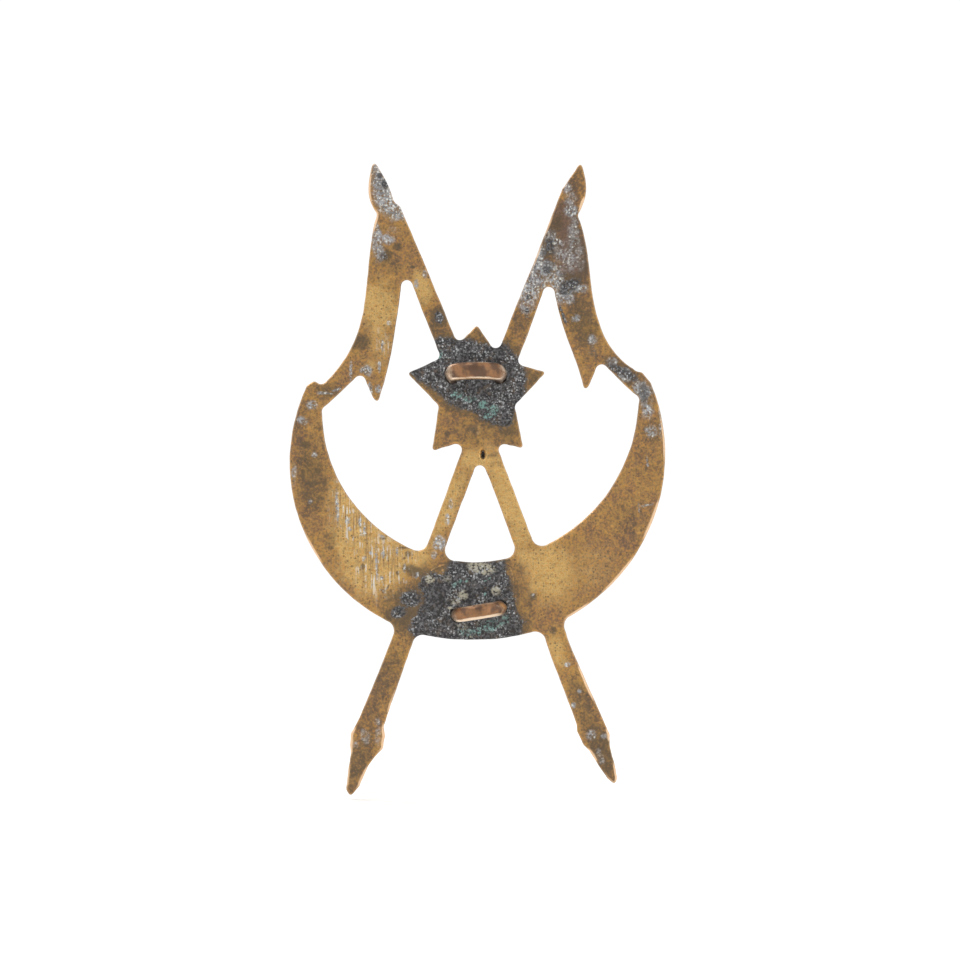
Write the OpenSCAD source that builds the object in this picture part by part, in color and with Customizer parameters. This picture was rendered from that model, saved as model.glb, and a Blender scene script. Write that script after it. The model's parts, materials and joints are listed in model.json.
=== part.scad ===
// Cap badge: two crossed lances with swallow-tailed pennons, an upturned crescent
// and a five-pointed star, struck as one flat-backed pierced plate. Two copper loops
// are brazed to its back, and a split pin through both holds it to a cap.
//
// Millimetres. The back face is the plane y = 0: the loops stand on it towards -Y and
// the raised front faces +Y. Seen from the back, X runs to the right and Z up. The
// origin is on the back face, midway between the two loops. "Left" and "right" are as
// seen from the back, and each lance is called after the side that its spear is on.

/* [Plate] */
// Thickness of the plate at its edge
plate_t = 1.2; // [0.8:0.1:2.5]
// Radius of the fillets in the outline's inner corners
inner_fillet = 0.5; // [0.1:0.05:0.6]
// Radius of the larger fillets where the shafts meet the crescent
joint_fillet = 0.9; // [0.6:0.05:1.2]
// Radius that softens the outline's outer corners
outer_round = 0.15; // [0.05:0.05:0.3]

/* [Crescent] */
// Depth of the crescent's lowest edge below the origin
crescent_foot = 12.4; // [10:0.1:16]
// Height of the crescent at its middle, between its two edges
crescent_waist = 6.5; // [4:0.1:7.5]
// Distance of the horns' tips from the badge's centre line
horn_out = 14.3; // [12:0.1:17.5]
// Height of the horns' tips above the origin
horn_up = 9; // [7.5:0.1:11]
// How far each arm's outer edge bows out from the straight line, foot to horn
outer_bow = 7.2; // [5.5:0.1:8.5]
// How far each arm's inner edge bows out from the straight line, waist to horn
inner_bow = 3.8; // [3:0.1:4.8]

/* [Lances] */
// Height of the spears' tips above the origin
spear_up = 27.7; // [24:0.1:33]
// Distance of the spears' tips from the badge's centre line
spear_out = 8.6; // [7:0.1:10.5]
// Depth of the butts' tips below the origin
butt_down = 24.9; // [20:0.1:30]
// Distance of the butts' tips from the badge's centre line
butt_out = 11.3; // [9:0.1:13.6]
// Width of the shafts between the spears and the crescent
shaft_w = 1.55; // [1:0.05:2.2]
// Width of the shafts where they enter their ferrules
shaft_foot_w = 2.2; // [1.6:0.05:2.8]
// Height of the shafts' rounded fronts above the plate
shaft_relief = 0.7; // [0.3:0.05:1.2]

/* [Star] */
// Distance of the star's points from its centre
star_r = 5.9; // [4.6:0.1:7]
// Distance of the star's inner corners from its centre
star_inner_r = 3.4; // [2.6:0.1:4]
// Height of the star's centre above the origin
star_up = 8.3; // [6.9:0.1:10]
// Height of the star's peak above the plate
star_relief = 1.2; // [0.6:0.1:2]

/* [Pennons] */
// Height of the pennons and the crescent's face above the plate
field_relief = 0.35; // [0.1:0.05:0.8]
// Width of the plain border round each raised face
border = 0.45; // [0.3:0.05:0.8]
// Width of the groove that divides each pennon lengthwise
groove_w = 0.35; // [0.2:0.05:0.5]

/* [Loops] */
// Distance between the middles of the two loops
loop_pitch = 20; // [16:0.1:24]
// Radius of the upper loop's round inside
upper_eye_r = 1.5; // [1.2:0.05:1.8]
// Radius of the lower loop's round inside
lower_eye_r = 1.3; // [1.1:0.05:1.6]
// Width of the upper loop's flattened wire, along the pin
upper_wire_w = 1.45; // [1.1:0.05:1.8]
// Width of the lower loop's flattened wire, along the pin
lower_wire_w = 1.25; // [1:0.05:1.6]
// Thickness of the flattened wire, across the pin
wire_t = 1.1; // [0.8:0.05:1.4]
// Length of the loops' straight legs, from the back face to the round
leg = 1.7; // [1.5:0.1:2.5]
// Lean of the upper loop towards the spears
upper_lean = 5; // [0:1:8]
// Turn of the lower loop on the back face
lower_turn = 9.5; // [0:0.5:15]

/* [Solder] */
// Thickness of the solder beds on the back face
bed_t = 0.12; // [0.05:0.01:0.3]
// Height of the solder fillets round the loops' feet
foot_h = 0.5; // [0.3:0.05:0.8]
// Width of those fillets at the bed
foot_w = 0.45; // [0.2:0.05:0.6]
// Distance of the solder beds from the plate's edge
bed_margin = 0.25; // [0.1:0.05:0.5]

/* [Hidden] */
$fn = 64;
LEFT = 0;
RIGHT = 1;
// Overlap that lets a raised face grow out of the plate instead of only touching it
bite = 0.2;
// The die was cut by hand, so the two sides differ by a few tenths: [outwards, up] for
// the main points, and more or less bow for the crescent's outer and inner edges
horn_shift = [[0, -0.1], [0.3, 0.2]];
spear_shift = [[0.05, 0.1], [0.1, 0]];
butt_shift = [[-0.25, 0.4], [0.15, -0.4]];
joint_shift = [[-1.6, 0.35], [-1.45, 1.1]];
outer_shift = [0.1, -0.15];
inner_shift = [0, -0.15];

// Seen from the back, the left side is at negative X.
function sign_of(side) = side == LEFT ? -1 : 1;
function at(side, p) = [sign_of(side) * p.x, p.y];

// The points of a cubic curve from a to d that leaves towards b and arrives from c
function curve(a, b, c, d, n = 12) = [for (i = [0:n]) let (t = i / n, s = 1 - t)
    s ^ 3 * a + 3 * s * s * t * b + 3 * s * t * t * c + t ^ 3 * d];

// The points of an arc from a to b. It bows out to the right of that way, or to the
// left of it when bow is negative.
function arc(a, b, bow, n = 36) =
    let (chord = norm(b - a),
         way = (b - a) / chord,
         r = (chord * chord / 4 + bow * bow) / (2 * bow),
         centre = (a + b) / 2 + [way.y, -way.x] * (bow - r),
         start = atan2(a.y - centre.y, a.x - centre.x),
         sweep = 4 * atan(2 * bow / chord))
    [for (i = [0:n]) let (angle = start + sweep * i / n)
        centre + abs(r) * [cos(angle), sin(angle)]];

// The main points of the outline, [outwards, up] on each side
function horn(side) = [horn_out, horn_up] + horn_shift[side];
function spear_tip(side) = [spear_out, spear_up] + spear_shift[side];
// Each lance ends on the other side of the badge from its spear.
function butt_tip(side) = [-butt_out, -butt_down] + [butt_shift[side].x, butt_shift[side].y];
// Where the pennon's outer tail meets the horn
function joint(side) = horn(side) + joint_shift[side];
function neck(side) = spear_tip(side) + [-0.3, -4.4];

// A point on a lance: d along it from the spear's tip, w outwards from its axis
function lance_len(side) = norm(butt_tip(side) - spear_tip(side));
function on_lance(side, d, w) =
    let (way = (butt_tip(side) - spear_tip(side)) / lance_len(side))
    spear_tip(side) + d * way + w * [-way.y, way.x];

// A spear's blade ends at its neck. Each blade bellies outwards from its lance.
blade = 4.6;
blade_in = [[-1.6, -3.5], [-1.6, -2.9]];
blade_belly = [[0.9, -3.3], [0.9, -2.9]];
function spear_outline(side) = let (tip = spear_tip(side)) concat(
    curve(tip, tip + [-0.5, -0.8], tip + [-1.5, -2], tip + blade_in[side]),
    [on_lance(side, blade, 0), on_lance(side, blade, shaft_w / 2)],
    curve(neck(side), tip + blade_belly[side], tip + [0.5, -1.2], tip));

// A shaft is cut by hand and swells to its ferrule. Each row is how far down the lance it
// is, as a share, then how much wider than the plain shaft it is outwards and inwards.
ferrule_up = 4.6;
shaft_cut = [
    [[0.08, -0.1, -0.1], [0.25, -0.05, 0.2], [0.5, -0.2, 0.2], [0.64, -0.15, 0.15],
        [0.72, 0.15, 0], [0.79, 0.35, -0.05]],
    [[0.05, -0.1, -0.1], [0.16, 0, -0.05], [0.25, 0.15, 0.1], [0.5, -0.1, 0.05], [0.64, -0.05, 0],
        [0.79, 0.2, 0.05]]];
function shaft_outline(side) =
    let (end = lance_len(side), cuts = shaft_cut[side], last = len(cuts) - 1, foot = end - ferrule_up)
    concat(
        [for (i = [0:last]) on_lance(side, end * cuts[i][0], shaft_w / 2 + cuts[i][1])],
        [on_lance(side, foot, shaft_foot_w / 2 + 0.05), on_lance(side, foot, -shaft_foot_w / 2)],
        [for (i = [last:-1:0]) on_lance(side, end * cuts[i][0], -shaft_w / 2 - cuts[i][2])]);

// A butt, [up the lance from its tip, sideways from the axis]: a ferrule, then a spike.
// Sideways is outwards at the spear, so down here it is towards the badge's middle.
butt = [
    [[5, 1.35], [4, 1.3], [3.4, 0.95], [2.4, 0.8], [0.6, 0.4], [-0.1, 0],
     [0.3, -0.35], [1.4, -0.6], [3.2, -0.75], [4, -1.15], [5, -1.05]],
    [[6.1, 1.25], [5.7, 1.55], [4.6, 1.75], [4, 1.4], [2.9, 1.05], [1, 1], [-0.1, 0.55],
     [0.4, 0], [2.3, -0.45], [3.4, -0.65], [3.9, -1], [4.9, -1.25], [6.2, -1]]];
function butt_outline(side) = [for (p = butt[side]) on_lance(side, lance_len(side) - p.x, p.y)];

// A pennon flies from its lance to the horn, where its outer tail ends. Its inner tail
// hangs free. The cut between the tails and the horn's root are set from the joint.
pennon_leave = [[1.5, -4], [1.8, -3.6]];
pennon_arrive = [[-4.6, 4.2], [-4.6, 2.8]];
inner_leave = [[0.3, -3], [0.6, -5.4]];
inner_arrive = [[-1.35, 3.6], [-1, 4]];
tail_tip = [[-4.35, -1.75], [-4.1, -1.75]];
tail_cut = [[-3, 0.85], [-2.85, 0.75]];
horn_root = [0.2, -2.1];
crotch = [8.8, 9.1];
function pennon_outline(side) =
    let (j = joint(side),
         tip = j + tail_tip[side],
         cut = j + tail_cut[side],
         fork = on_lance(side, crotch[side], shaft_w / 2))
    concat(
        curve(neck(side), neck(side) + pennon_leave[side], j + pennon_arrive[side], j),
        [j + [0.4, -0.3]],
        curve(j + horn_root, j + [-0.9, -1.3], cut + [1, -0.8], cut, 6),
        curve(cut, cut + [-0.5, -0.8], tip + [0.6, 0.4], tip, 6),
        curve(tip, tip + inner_arrive[side], fork + inner_leave[side], fork),
        [on_lance(side, crotch[side], 0), on_lance(side, blade, 0)]);

// The crescent, counter-clockwise from the left horn's tip
horn_blunt = [[-0.7, 0.5], [-0.6, 0.7]];
inner_horn = [[-1.25, -2.2], [-1.05, -2.1]];
function crescent_outline() =
    let (foot = [0, -crescent_foot],
         waist = foot + [0, crescent_waist],
         left = at(LEFT, horn(LEFT)),
         right = at(RIGHT, horn(RIGHT)),
         left_in = at(LEFT, horn(LEFT) + inner_horn[LEFT]),
         right_in = at(RIGHT, horn(RIGHT) + inner_horn[RIGHT]))
    concat(
        arc(left, foot, outer_bow + outer_shift[LEFT]),
        arc(foot, right, outer_bow + outer_shift[RIGHT]),
        [at(RIGHT, horn(RIGHT) + horn_blunt[RIGHT])],
        arc(right_in, waist, -inner_bow - inner_shift[RIGHT]),
        arc(waist, left_in, -inner_bow - inner_shift[LEFT]),
        [at(LEFT, horn(LEFT) + horn_blunt[LEFT])]);

// The star's points, upright first and counter-clockwise, each turned a little by hand
star_turn = [0, 2, -2, 4, -1];
star_reach = [-0.15, 0.2, 0.25, 0.15, 0.2];
star_corner_reach = [0.6, -0.05, 0.3, -0.1, 0];
function star_outline(inset = 0) = [for (i = [0:9])
    let (point = i % 2 == 0,
         angle = 90 + 36 * i + (point ? star_turn[i / 2] : 0),
         r = point
             ? star_r + star_reach[i / 2] - 2 * inset
             : star_inner_r + star_corner_reach[(i - 1) / 2] - inset)
    [0, star_up] + r * [cos(angle), sin(angle)]];

module on_side(side, points) polygon([for (p = points) at(side, p)]);

module lance_outline(side) {
    on_side(side, spear_outline(side));
    on_side(side, shaft_outline(side));
    on_side(side, butt_outline(side));
}

module filleted(r) offset(r = -r) offset(delta = r) children();

// The whole silhouette, with its inner corners filleted and its outer ones softened
module plate_outline() {
    offset(r = outer_round) offset(delta = -outer_round)
    filleted(inner_fillet) {
        polygon(star_outline());
        for (side = [LEFT, RIGHT]) {
            filleted(joint_fillet) {
                polygon(crescent_outline());
                lance_outline(side);
            }
            on_side(side, pennon_outline(side));
        }
    }
}

// Stands a flat shape up in the XZ plane, from depth y to y + t
module slab(y, t) translate([0, y + t, 0]) rotate([90, 0, 0]) linear_extrude(t) children();

// A raised face: the outline drawn in by the border, standing on the plate
module raised(height, inset = border) slab(plate_t - bite, height + bite)
    offset(delta = -inset) children();

// Runs a round bar on the plate from one distance along a lance to another
module on_shaft(side, from, to, r_from, r_to) {
    start = at(side, on_lance(side, from, 0));
    end = at(side, on_lance(side, to, 0));
    translate([start.x, plate_t, start.y])
        rotate([0, atan2(end.x - start.x, end.y - start.y), 0])
            cylinder(h = norm(end - start), r1 = r_from, r2 = r_to);
}

// A lance's raised front: rounded shaft, ferrule ring, spike and the spear's midrib.
// The spike and the midrib run out short of the butt's and the spear's tips.
ring_w = 0.9;
ring_r = 0.95;
spike_tip = 0.9;
spike_end_r = 0.2;
spear_rib_end = 1.2;
spear_rib_r = 0.2;
module lance_relief(side) {
    end = lance_len(side);
    ring = end - ferrule_up;
    slim = shaft_relief / (shaft_w / 2);
    on_shaft(side, blade, ring, shaft_relief, shaft_foot_w / 2 * slim);
    on_shaft(side, ring - ring_w / 2, ring + ring_w / 2, ring_r, ring_r);
    on_shaft(side, ring, end - spike_tip, shaft_relief, spike_end_r);
    on_shaft(side, spear_rib_end, blade + 1, spear_rib_r, shaft_relief);
}

// The pennon's raised cloth, parted lengthwise by a groove from neck to joint
module pennon_relief(side) difference() {
    raised(field_relief) on_side(side, pennon_outline(side));
    slab(plate_t, field_relief + 1) on_side(side, groove_outline(side));
}
function groove_outline(side) =
    let (from = on_lance(side, blade + 2, 1.2),
         to = joint(side) + [-1.6, -0.4],
         half = [groove_w / 2, groove_w / 4],
         lead = [0.4, -4],
         trail = [-2.4, 3.4])
    concat(
        curve(from + half, from + half + lead, to + half + trail, to + half),
        curve(to - half, to - half + trail, from - half + lead, from - half));

// The faceted star: ten sloping faces that meet at its peak, over an upright edge
star_edge = 0.45;
module star_relief_body() {
    rim = star_outline(border);
    points = concat(
        [for (p = rim) [p.x, plate_t - bite, p.y]],
        [for (p = rim) [p.x, plate_t + star_edge, p.y]],
        [[0, plate_t - bite, star_up], [0, plate_t + star_relief, star_up]]);
    floor_point = 20;
    peak = 21;
    polyhedron(points, [for (i = [0:9]) let (j = (i + 1) % 10)
        each [[j, i, floor_point], [i, j, 10 + j, 10 + i], [10 + i, 10 + j, peak]]]);
}

module badge_plate() color("#9c713c") union() {
    slab(0, plate_t) plate_outline();
    raised(field_relief) polygon(crescent_outline());
    for (side = [LEFT, RIGHT]) {
        pennon_relief(side);
        lance_relief(side);
    }
    star_relief_body();
}

// A loop's flattened wire in section, from its inner face out. Its outer corners are
// worn round, and its inner face is flat, so that it makes a true round eye.
module wire_section(wire_w) {
    worn = 0.4;
    crisp = 0.15;
    translate([crisp, -wire_w / 2]) square([wire_t - worn - crisp, wire_w]);
    translate([0, -wire_w / 2 + crisp]) square([crisp, wire_w - 2 * crisp]);
    translate([wire_t - worn, -wire_w / 2 + worn]) square([worn, wire_w - 2 * worn]);
    for (s = [-1, 1]) {
        translate([crisp, s * (wire_w / 2 - crisp)]) circle(crisp);
        translate([wire_t - worn, s * (wire_w / 2 - worn)]) circle(worn);
    }
}

// A loop with its feet on the back face at the origin and its eye's axis along Z,
// leaning towards +Z. The legs run on past the face and are cut off flush with it.
module loop(eye_r, wire_w, lean) difference() {
    rotate([-lean, 0, 0]) {
        translate([0, -leg, 0]) rotate([0, 0, 180]) rotate_extrude(angle = 180)
            translate([eye_r, 0]) wire_section(wire_w);
        for (s = [0, 1]) mirror([s, 0, 0])
            translate([0, wire_w, 0]) rotate([90, 0, 0]) linear_extrude(leg + wire_w)
                translate([eye_r, 0]) wire_section(wire_w);
    }
    translate([-eye_r - 2 * wire_t, 0, -wire_w]) cube([2 * eye_r + 4 * wire_t, 2 * wire_w, 2 * wire_w]);
}

// The loops' places on the back face. The upper one's feet are set down by half of
// what its crown leans up.
upper_x = -0.1;
lower_x = 0.15;
crown = leg + upper_eye_r + wire_t;
upper_place = [upper_x, 0, loop_pitch / 2 - crown * sin(upper_lean) / 2];
lower_place = [lower_x, 0, -loop_pitch / 2];

module upper_loop() color("#aa7850")
    translate(upper_place) loop(upper_eye_r, upper_wire_w, upper_lean);
module lower_loop() color("#aa7850")
    translate(lower_place) rotate([0, -lower_turn, 0]) loop(lower_eye_r, lower_wire_w, 0);

// A closed smooth line through a few points, for the edge that molten solder takes
function smooth(points, n = 5) = let (m = len(points))
    [for (i = [0:m - 1], k = [0:n - 1])
        let (a = points[(i + m - 1) % m], b = points[i], c = points[(i + 1) % m],
             d = points[(i + 2) % m], t = k / n)
        0.5 * (2 * b + (c - a) * t + (2 * a - 5 * b + 4 * c - d) * t ^ 2
            + (3 * b - a - 3 * c + d) * t ^ 3)];

// How far each pool of solder ran, from the middle of its loop
upper_spill = [[-3.4, -1.2], [-0.5, -2.9], [1, -3.9], [2.6, -4.3], [3.3, -2.6], [4.1, -0.4],
    [3.5, 1.1], [1.7, 2.6], [0, 2.9], [-1.7, 2.5], [-3.1, 1.4], [-4.9, 0.4], [-4.6, -0.6]];
lower_spill = [[-4.6, 3], [-2, 4.2], [2.2, 4.1], [3, 2.4], [3, 0.6], [3.6, -1.2],
    [2.4, -2.6], [-2.2, -2.6], [-5.3, -2.2], [-5.2, -0.8], [-4.6, 0.8]];

// A bed of solder on the back face, clear of the plate's edge, with a fillet at each foot
module solder_bed(spill, place, turn, eye_r, wire_w) {
    slab(-bed_t, bed_t) intersection() {
        offset(delta = -bed_margin) plate_outline();
        translate([place.x, place.z]) polygon(smooth(spill));
    }
    translate(place) rotate([0, -turn, 0]) for (s = [-1, 1])
        translate([s * (eye_r + wire_t / 2), 0, 0]) rotate([90, 0, 0])
            cylinder(h = foot_h, r1 = wire_w / 2 + foot_w, r2 = wire_w / 2 + 0.1);
}

module upper_solder_bed() color("#2f2e2e") difference() {
    solder_bed(upper_spill, upper_place, 0, upper_eye_r, upper_wire_w);
    upper_loop();
}
module lower_solder_bed() color("#2f2e2e") difference() {
    solder_bed(lower_spill, lower_place, lower_turn, lower_eye_r, lower_wire_w);
    lower_loop();
}

badge_plate();
upper_loop();
lower_loop();
upper_solder_bed();
lower_solder_bed();
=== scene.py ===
"""A struck brass cap badge seen from its back, with two copper loops brazed to it.

The badge is a flat-backed plate: crossed lances with pennons, an upturned crescent and a
star. Sizes are in millimetres until a mesh is made. X runs to the right and Z up as seen
from the back, which faces -Y. A flat place on the badge is written (x, z).
"""
import json
import math

import bpy
import numpy as np
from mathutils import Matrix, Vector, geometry


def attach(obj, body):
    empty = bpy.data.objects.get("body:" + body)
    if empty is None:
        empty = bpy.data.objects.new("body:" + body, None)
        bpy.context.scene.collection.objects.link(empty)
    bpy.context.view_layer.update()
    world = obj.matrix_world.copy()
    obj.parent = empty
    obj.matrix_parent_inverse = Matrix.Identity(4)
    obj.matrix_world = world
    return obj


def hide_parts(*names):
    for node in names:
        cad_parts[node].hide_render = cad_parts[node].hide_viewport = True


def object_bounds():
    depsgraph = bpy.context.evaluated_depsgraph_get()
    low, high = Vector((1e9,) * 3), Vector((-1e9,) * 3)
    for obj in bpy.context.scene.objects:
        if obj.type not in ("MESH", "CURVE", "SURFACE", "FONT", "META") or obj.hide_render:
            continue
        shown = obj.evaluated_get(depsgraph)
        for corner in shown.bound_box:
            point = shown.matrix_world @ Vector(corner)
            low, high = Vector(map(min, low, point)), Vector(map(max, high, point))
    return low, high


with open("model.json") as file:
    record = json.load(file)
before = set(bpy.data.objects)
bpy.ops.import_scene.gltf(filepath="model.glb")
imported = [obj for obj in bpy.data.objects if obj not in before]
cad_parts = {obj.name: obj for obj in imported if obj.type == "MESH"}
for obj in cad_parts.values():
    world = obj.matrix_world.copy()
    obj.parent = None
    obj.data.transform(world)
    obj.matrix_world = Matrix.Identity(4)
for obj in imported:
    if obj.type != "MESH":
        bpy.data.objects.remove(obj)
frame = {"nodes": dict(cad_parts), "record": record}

bl_info = {
    "name": "Struck cap badge",
    "version": (1, 0, 0),
    "blender": (4, 5, 0),
    "location": "View3D > Sidebar > Badge",
    "description": "Builds a struck brass cap badge with brazed loops round its packed frame",
    "category": "Object",
}

MM = 0.001
CAD_BOX = [list(corner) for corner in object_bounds()]
PLATE = "badge_plate"
LOOPS = ("upper_loop", "lower_loop")
BEDS = ("upper_solder_bed", "lower_solder_bed")


# ---------------------------------------------------------------- sizes and colours


class BadgeSizes(bpy.types.PropertyGroup):
    """Sizes of the badge's own surfaces, in millimetres"""

    plate_t: bpy.props.FloatProperty(
        name="Plate edge", description="Thickness of the plate at its edge", default=1.2)
    back_round: bpy.props.FloatProperty(
        name="Back edge", description="Radius of the worn edge round the back", default=0.12)
    front_round: bpy.props.FloatProperty(
        name="Front edge", description="Radius of the edge round the front", default=0.2)
    grid: bpy.props.FloatProperty(
        name="Grid", description="Spacing of the plate's surface points", default=0.14)
    wire_t: bpy.props.FloatProperty(
        name="Wire", description="Thickness of the loops' flattened wire", default=1.1)
    upper_w: bpy.props.FloatProperty(
        name="Upper wire", description="Width of the upper loop's wire", default=1.45)
    lower_w: bpy.props.FloatProperty(
        name="Lower wire", description="Width of the lower loop's wire", default=1.25)


def colour_prop(name, text, default):
    return bpy.props.StringProperty(name=name, description=text + ", an sRGB hex value", default=default)


class BadgeColours(bpy.types.PropertyGroup):
    """Colours of the badge's metals and their patina"""

    brass: colour_prop("Brass", "Toned brass", "B9925A")
    amber: colour_prop("Amber tarnish", "Orange flecks in the tarnish", "BE8B4E")
    slate: colour_prop("Grey tarnish", "Dark grey flecks in the tarnish", "625446")
    plum: colour_prop("Purple tarnish", "Purple brown where heat toned the brass", "6E5B54")
    bright: colour_prop("Bright brass", "Brass that wear keeps clean", "D1AE71")
    brown: colour_prop("Brown tarnish", "The deeper brown tarnish", "8E7055")
    umber: colour_prop("Umber tarnish", "The darkest tarnish", "625748")
    # Rose: partly filed brass, partly a painted highlight along the back's rounded edge
    rose: colour_prop("Rubbed edge", "Edges that are filed and rubbed", "E6C4A0")
    tin: colour_prop("Tin", "Grey where solder wiped over the brass", "A8AAAD")
    tin_dark: colour_prop("Dull tin", "The duller grey of that solder", "757578")
    # Scored tin is also the colour of the painted sparkle and glints on the wiped solder
    tin_bright: colour_prop("Scored tin", "Fresh scores in the metal", "DCDCD6")
    soot: colour_prop("Burnt flux", "The burnt flux round the loops", "1C1A1A")
    ash: colour_prop("Flux grains", "The greyer grains in that flux", "545253")
    rust: colour_prop("Scorched flux", "Brown where the flux scorched", "5B4A3A")
    crystal: colour_prop("Flux crystals", "Small crystals of spent flux", "B4B6B8")
    crust: colour_prop("Flux crust", "The pale crust of spent flux", "A8A28E")
    verdigris: colour_prop("Verdigris", "Green copper salts in the flux", "7FA8A0")
    copper: colour_prop("Copper", "The loops' copper", "946E50")
    copper_brown: colour_prop("Toned copper", "Brown tone on the loops' faces", "695244")
    # Cream: partly copper polished by cloth and pin, partly a painted highlight on the loops' rims and
    # shoulders
    cream: colour_prop("Rubbed copper", "Copper polished by cloth and pin", "EAD2B8")
    card: colour_prop("Card", "The floor under the badge", "F4F3F1")


# ---------------------------------------------------------------- noise and outlines


def noise(x, z, scale, seed):
    """Smooth noise from -1 to 1: random values on a lattice of the given pitch, blended
    between lattice points by 3t^2 - 2t^3 along each axis."""
    reach = 64.0
    n = int(2 * reach / scale) + 3
    lattice = np.random.default_rng(seed).uniform(-1, 1, (n, n))
    gx, gz = (x + reach) / scale, (z + reach) / scale
    i, k = np.floor(gx).astype(int), np.floor(gz).astype(int)
    fx, fz = gx - i, gz - k
    fx, fz = fx * fx * (3 - 2 * fx), fz * fz * (3 - 2 * fz)
    low = lattice[i, k] * (1 - fx) + lattice[i + 1, k] * fx
    high = lattice[i, k + 1] * (1 - fx) + lattice[i + 1, k + 1] * fx
    return low * (1 - fz) + high * fz


def rough_noise(x, z, scale, seed, octaves=3):
    """Noise of several pitches, each half the last and half as strong."""
    parts = [noise(x, z, scale / 2**o, seed + o) / 2**o for o in range(octaves)]
    return sum(parts) / (2 - 2 ** (1 - octaves))


def smooth_step(lo, hi, value):
    """0 up to lo, 1 from hi on, and 3t^2 - 2t^3 between them."""
    t = np.clip((value - lo) / (hi - lo), 0, 1)
    return t * t * (3 - 2 * t)


def flat_outline(node, step):
    """The edges of a CAD node's flat side on the plane y = 0: closed lines of points about
    `step` apart, with the metal on the left of the way round. A piece of edge is one that
    only one flat triangle uses."""
    mesh = frame["nodes"][node].data
    co = np.empty(len(mesh.vertices) * 3, np.float32)
    mesh.vertices.foreach_get("co", co)
    co = co.reshape(-1, 3).astype(float) / MM
    mesh.calc_loop_triangles()
    tris = np.empty(len(mesh.loop_triangles) * 3, np.int32)
    mesh.loop_triangles.foreach_get("vertices", tris)
    tris = tris.reshape(-1, 3)
    tris = tris[(np.abs(co[tris][:, :, 1]) < 2e-4).all(1)]
    points, where = np.unique(np.round(co[:, [0, 2]], 5), axis=0, return_inverse=True)
    a, b, c = (where.reshape(-1)[tris[:, k]] for k in range(3))
    way = np.concatenate([np.c_[a, b], np.c_[b, c], np.c_[c, a]])
    way = way[way[:, 0] != way[:, 1]]
    n = len(points)
    rim = way[~np.isin(way[:, 0] * n + way[:, 1], way[:, 1] * n + way[:, 0])]
    following = dict(rim.tolist())
    lines = []
    while following:
        at, line = next(iter(following)), []
        while at in following:
            line.append(at)
            at = following.pop(at)
        line = points[line + [at]]
        length = np.r_[0, np.cumsum(np.hypot(*np.diff(line, axis=0).T))]
        count = max(8, round(length[-1] / step))
        even = np.linspace(0, length[-1], count, endpoint=False)
        lines.append(np.c_[np.interp(even, length, line[:, 0]), np.interp(even, length, line[:, 1])])
    return lines


def relax(line, passes):
    """Rounds a closed line: each point goes halfway to the middle of its two neighbours."""
    for _ in range(passes):
        line = (2 * line + np.roll(line, 1, 0) + np.roll(line, -1, 0)) / 4
    return line


def chain(lines):
    """All lines' points as one array, with the number of the point after and before each."""
    start = np.cumsum([0] + [len(line) for line in lines])
    index = [np.arange(a, b) for a, b in zip(start, start[1:])]
    after = np.concatenate([np.roll(i, -1) for i in index])
    before = np.concatenate([np.roll(i, 1) for i in index])
    return np.concatenate(lines), after, before


def edge_distance(points, start, end, chunk=3000):
    """Distance from each point to the nearest of the segments start-end, and whether the
    point is inside them, by counting the segments that cross the way to +X."""
    way = end - start
    length2 = (way**2).sum(1)
    near, inside = np.empty(len(points)), np.empty(len(points), bool)
    for at in range(0, len(points), chunk):
        p = points[at:at + chunk, None, :]
        t = np.clip(((p - start) * way).sum(2) / length2, 0, 1)
        gap = p - start - t[..., None] * way
        near[at:at + chunk] = np.sqrt((gap**2).sum(2).min(1))
        above = (start[:, 1] > p[..., 1]) != (end[:, 1] > p[..., 1])
        rise = np.where(way[:, 1] == 0, 1e-9, way[:, 1])
        cross = start[:, 0] + (p[..., 1] - start[:, 1]) * way[:, 0] / rise
        inside[at:at + chunk] = (above & (cross > p[..., 0])).sum(1) % 2 == 1
    return near, inside


def inside_rows(gx, gz, start, end):
    """Whether each point of a grid of rows is inside closed lines: along a row, the parity
    of the edges that cross it further on."""
    inside = np.zeros(gx.shape, bool)
    for row, z in enumerate(gz[:, 0]):
        hit = (start[:, 1] > z) != (end[:, 1] > z)
        a, b = start[hit], end[hit]
        cross = np.sort(a[:, 0] + (z - a[:, 1]) * (b[:, 0] - a[:, 0]) / (b[:, 1] - a[:, 1]))
        inside[row] = (len(cross) - np.searchsorted(cross, gx[row])) % 2 == 1
    return inside


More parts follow.
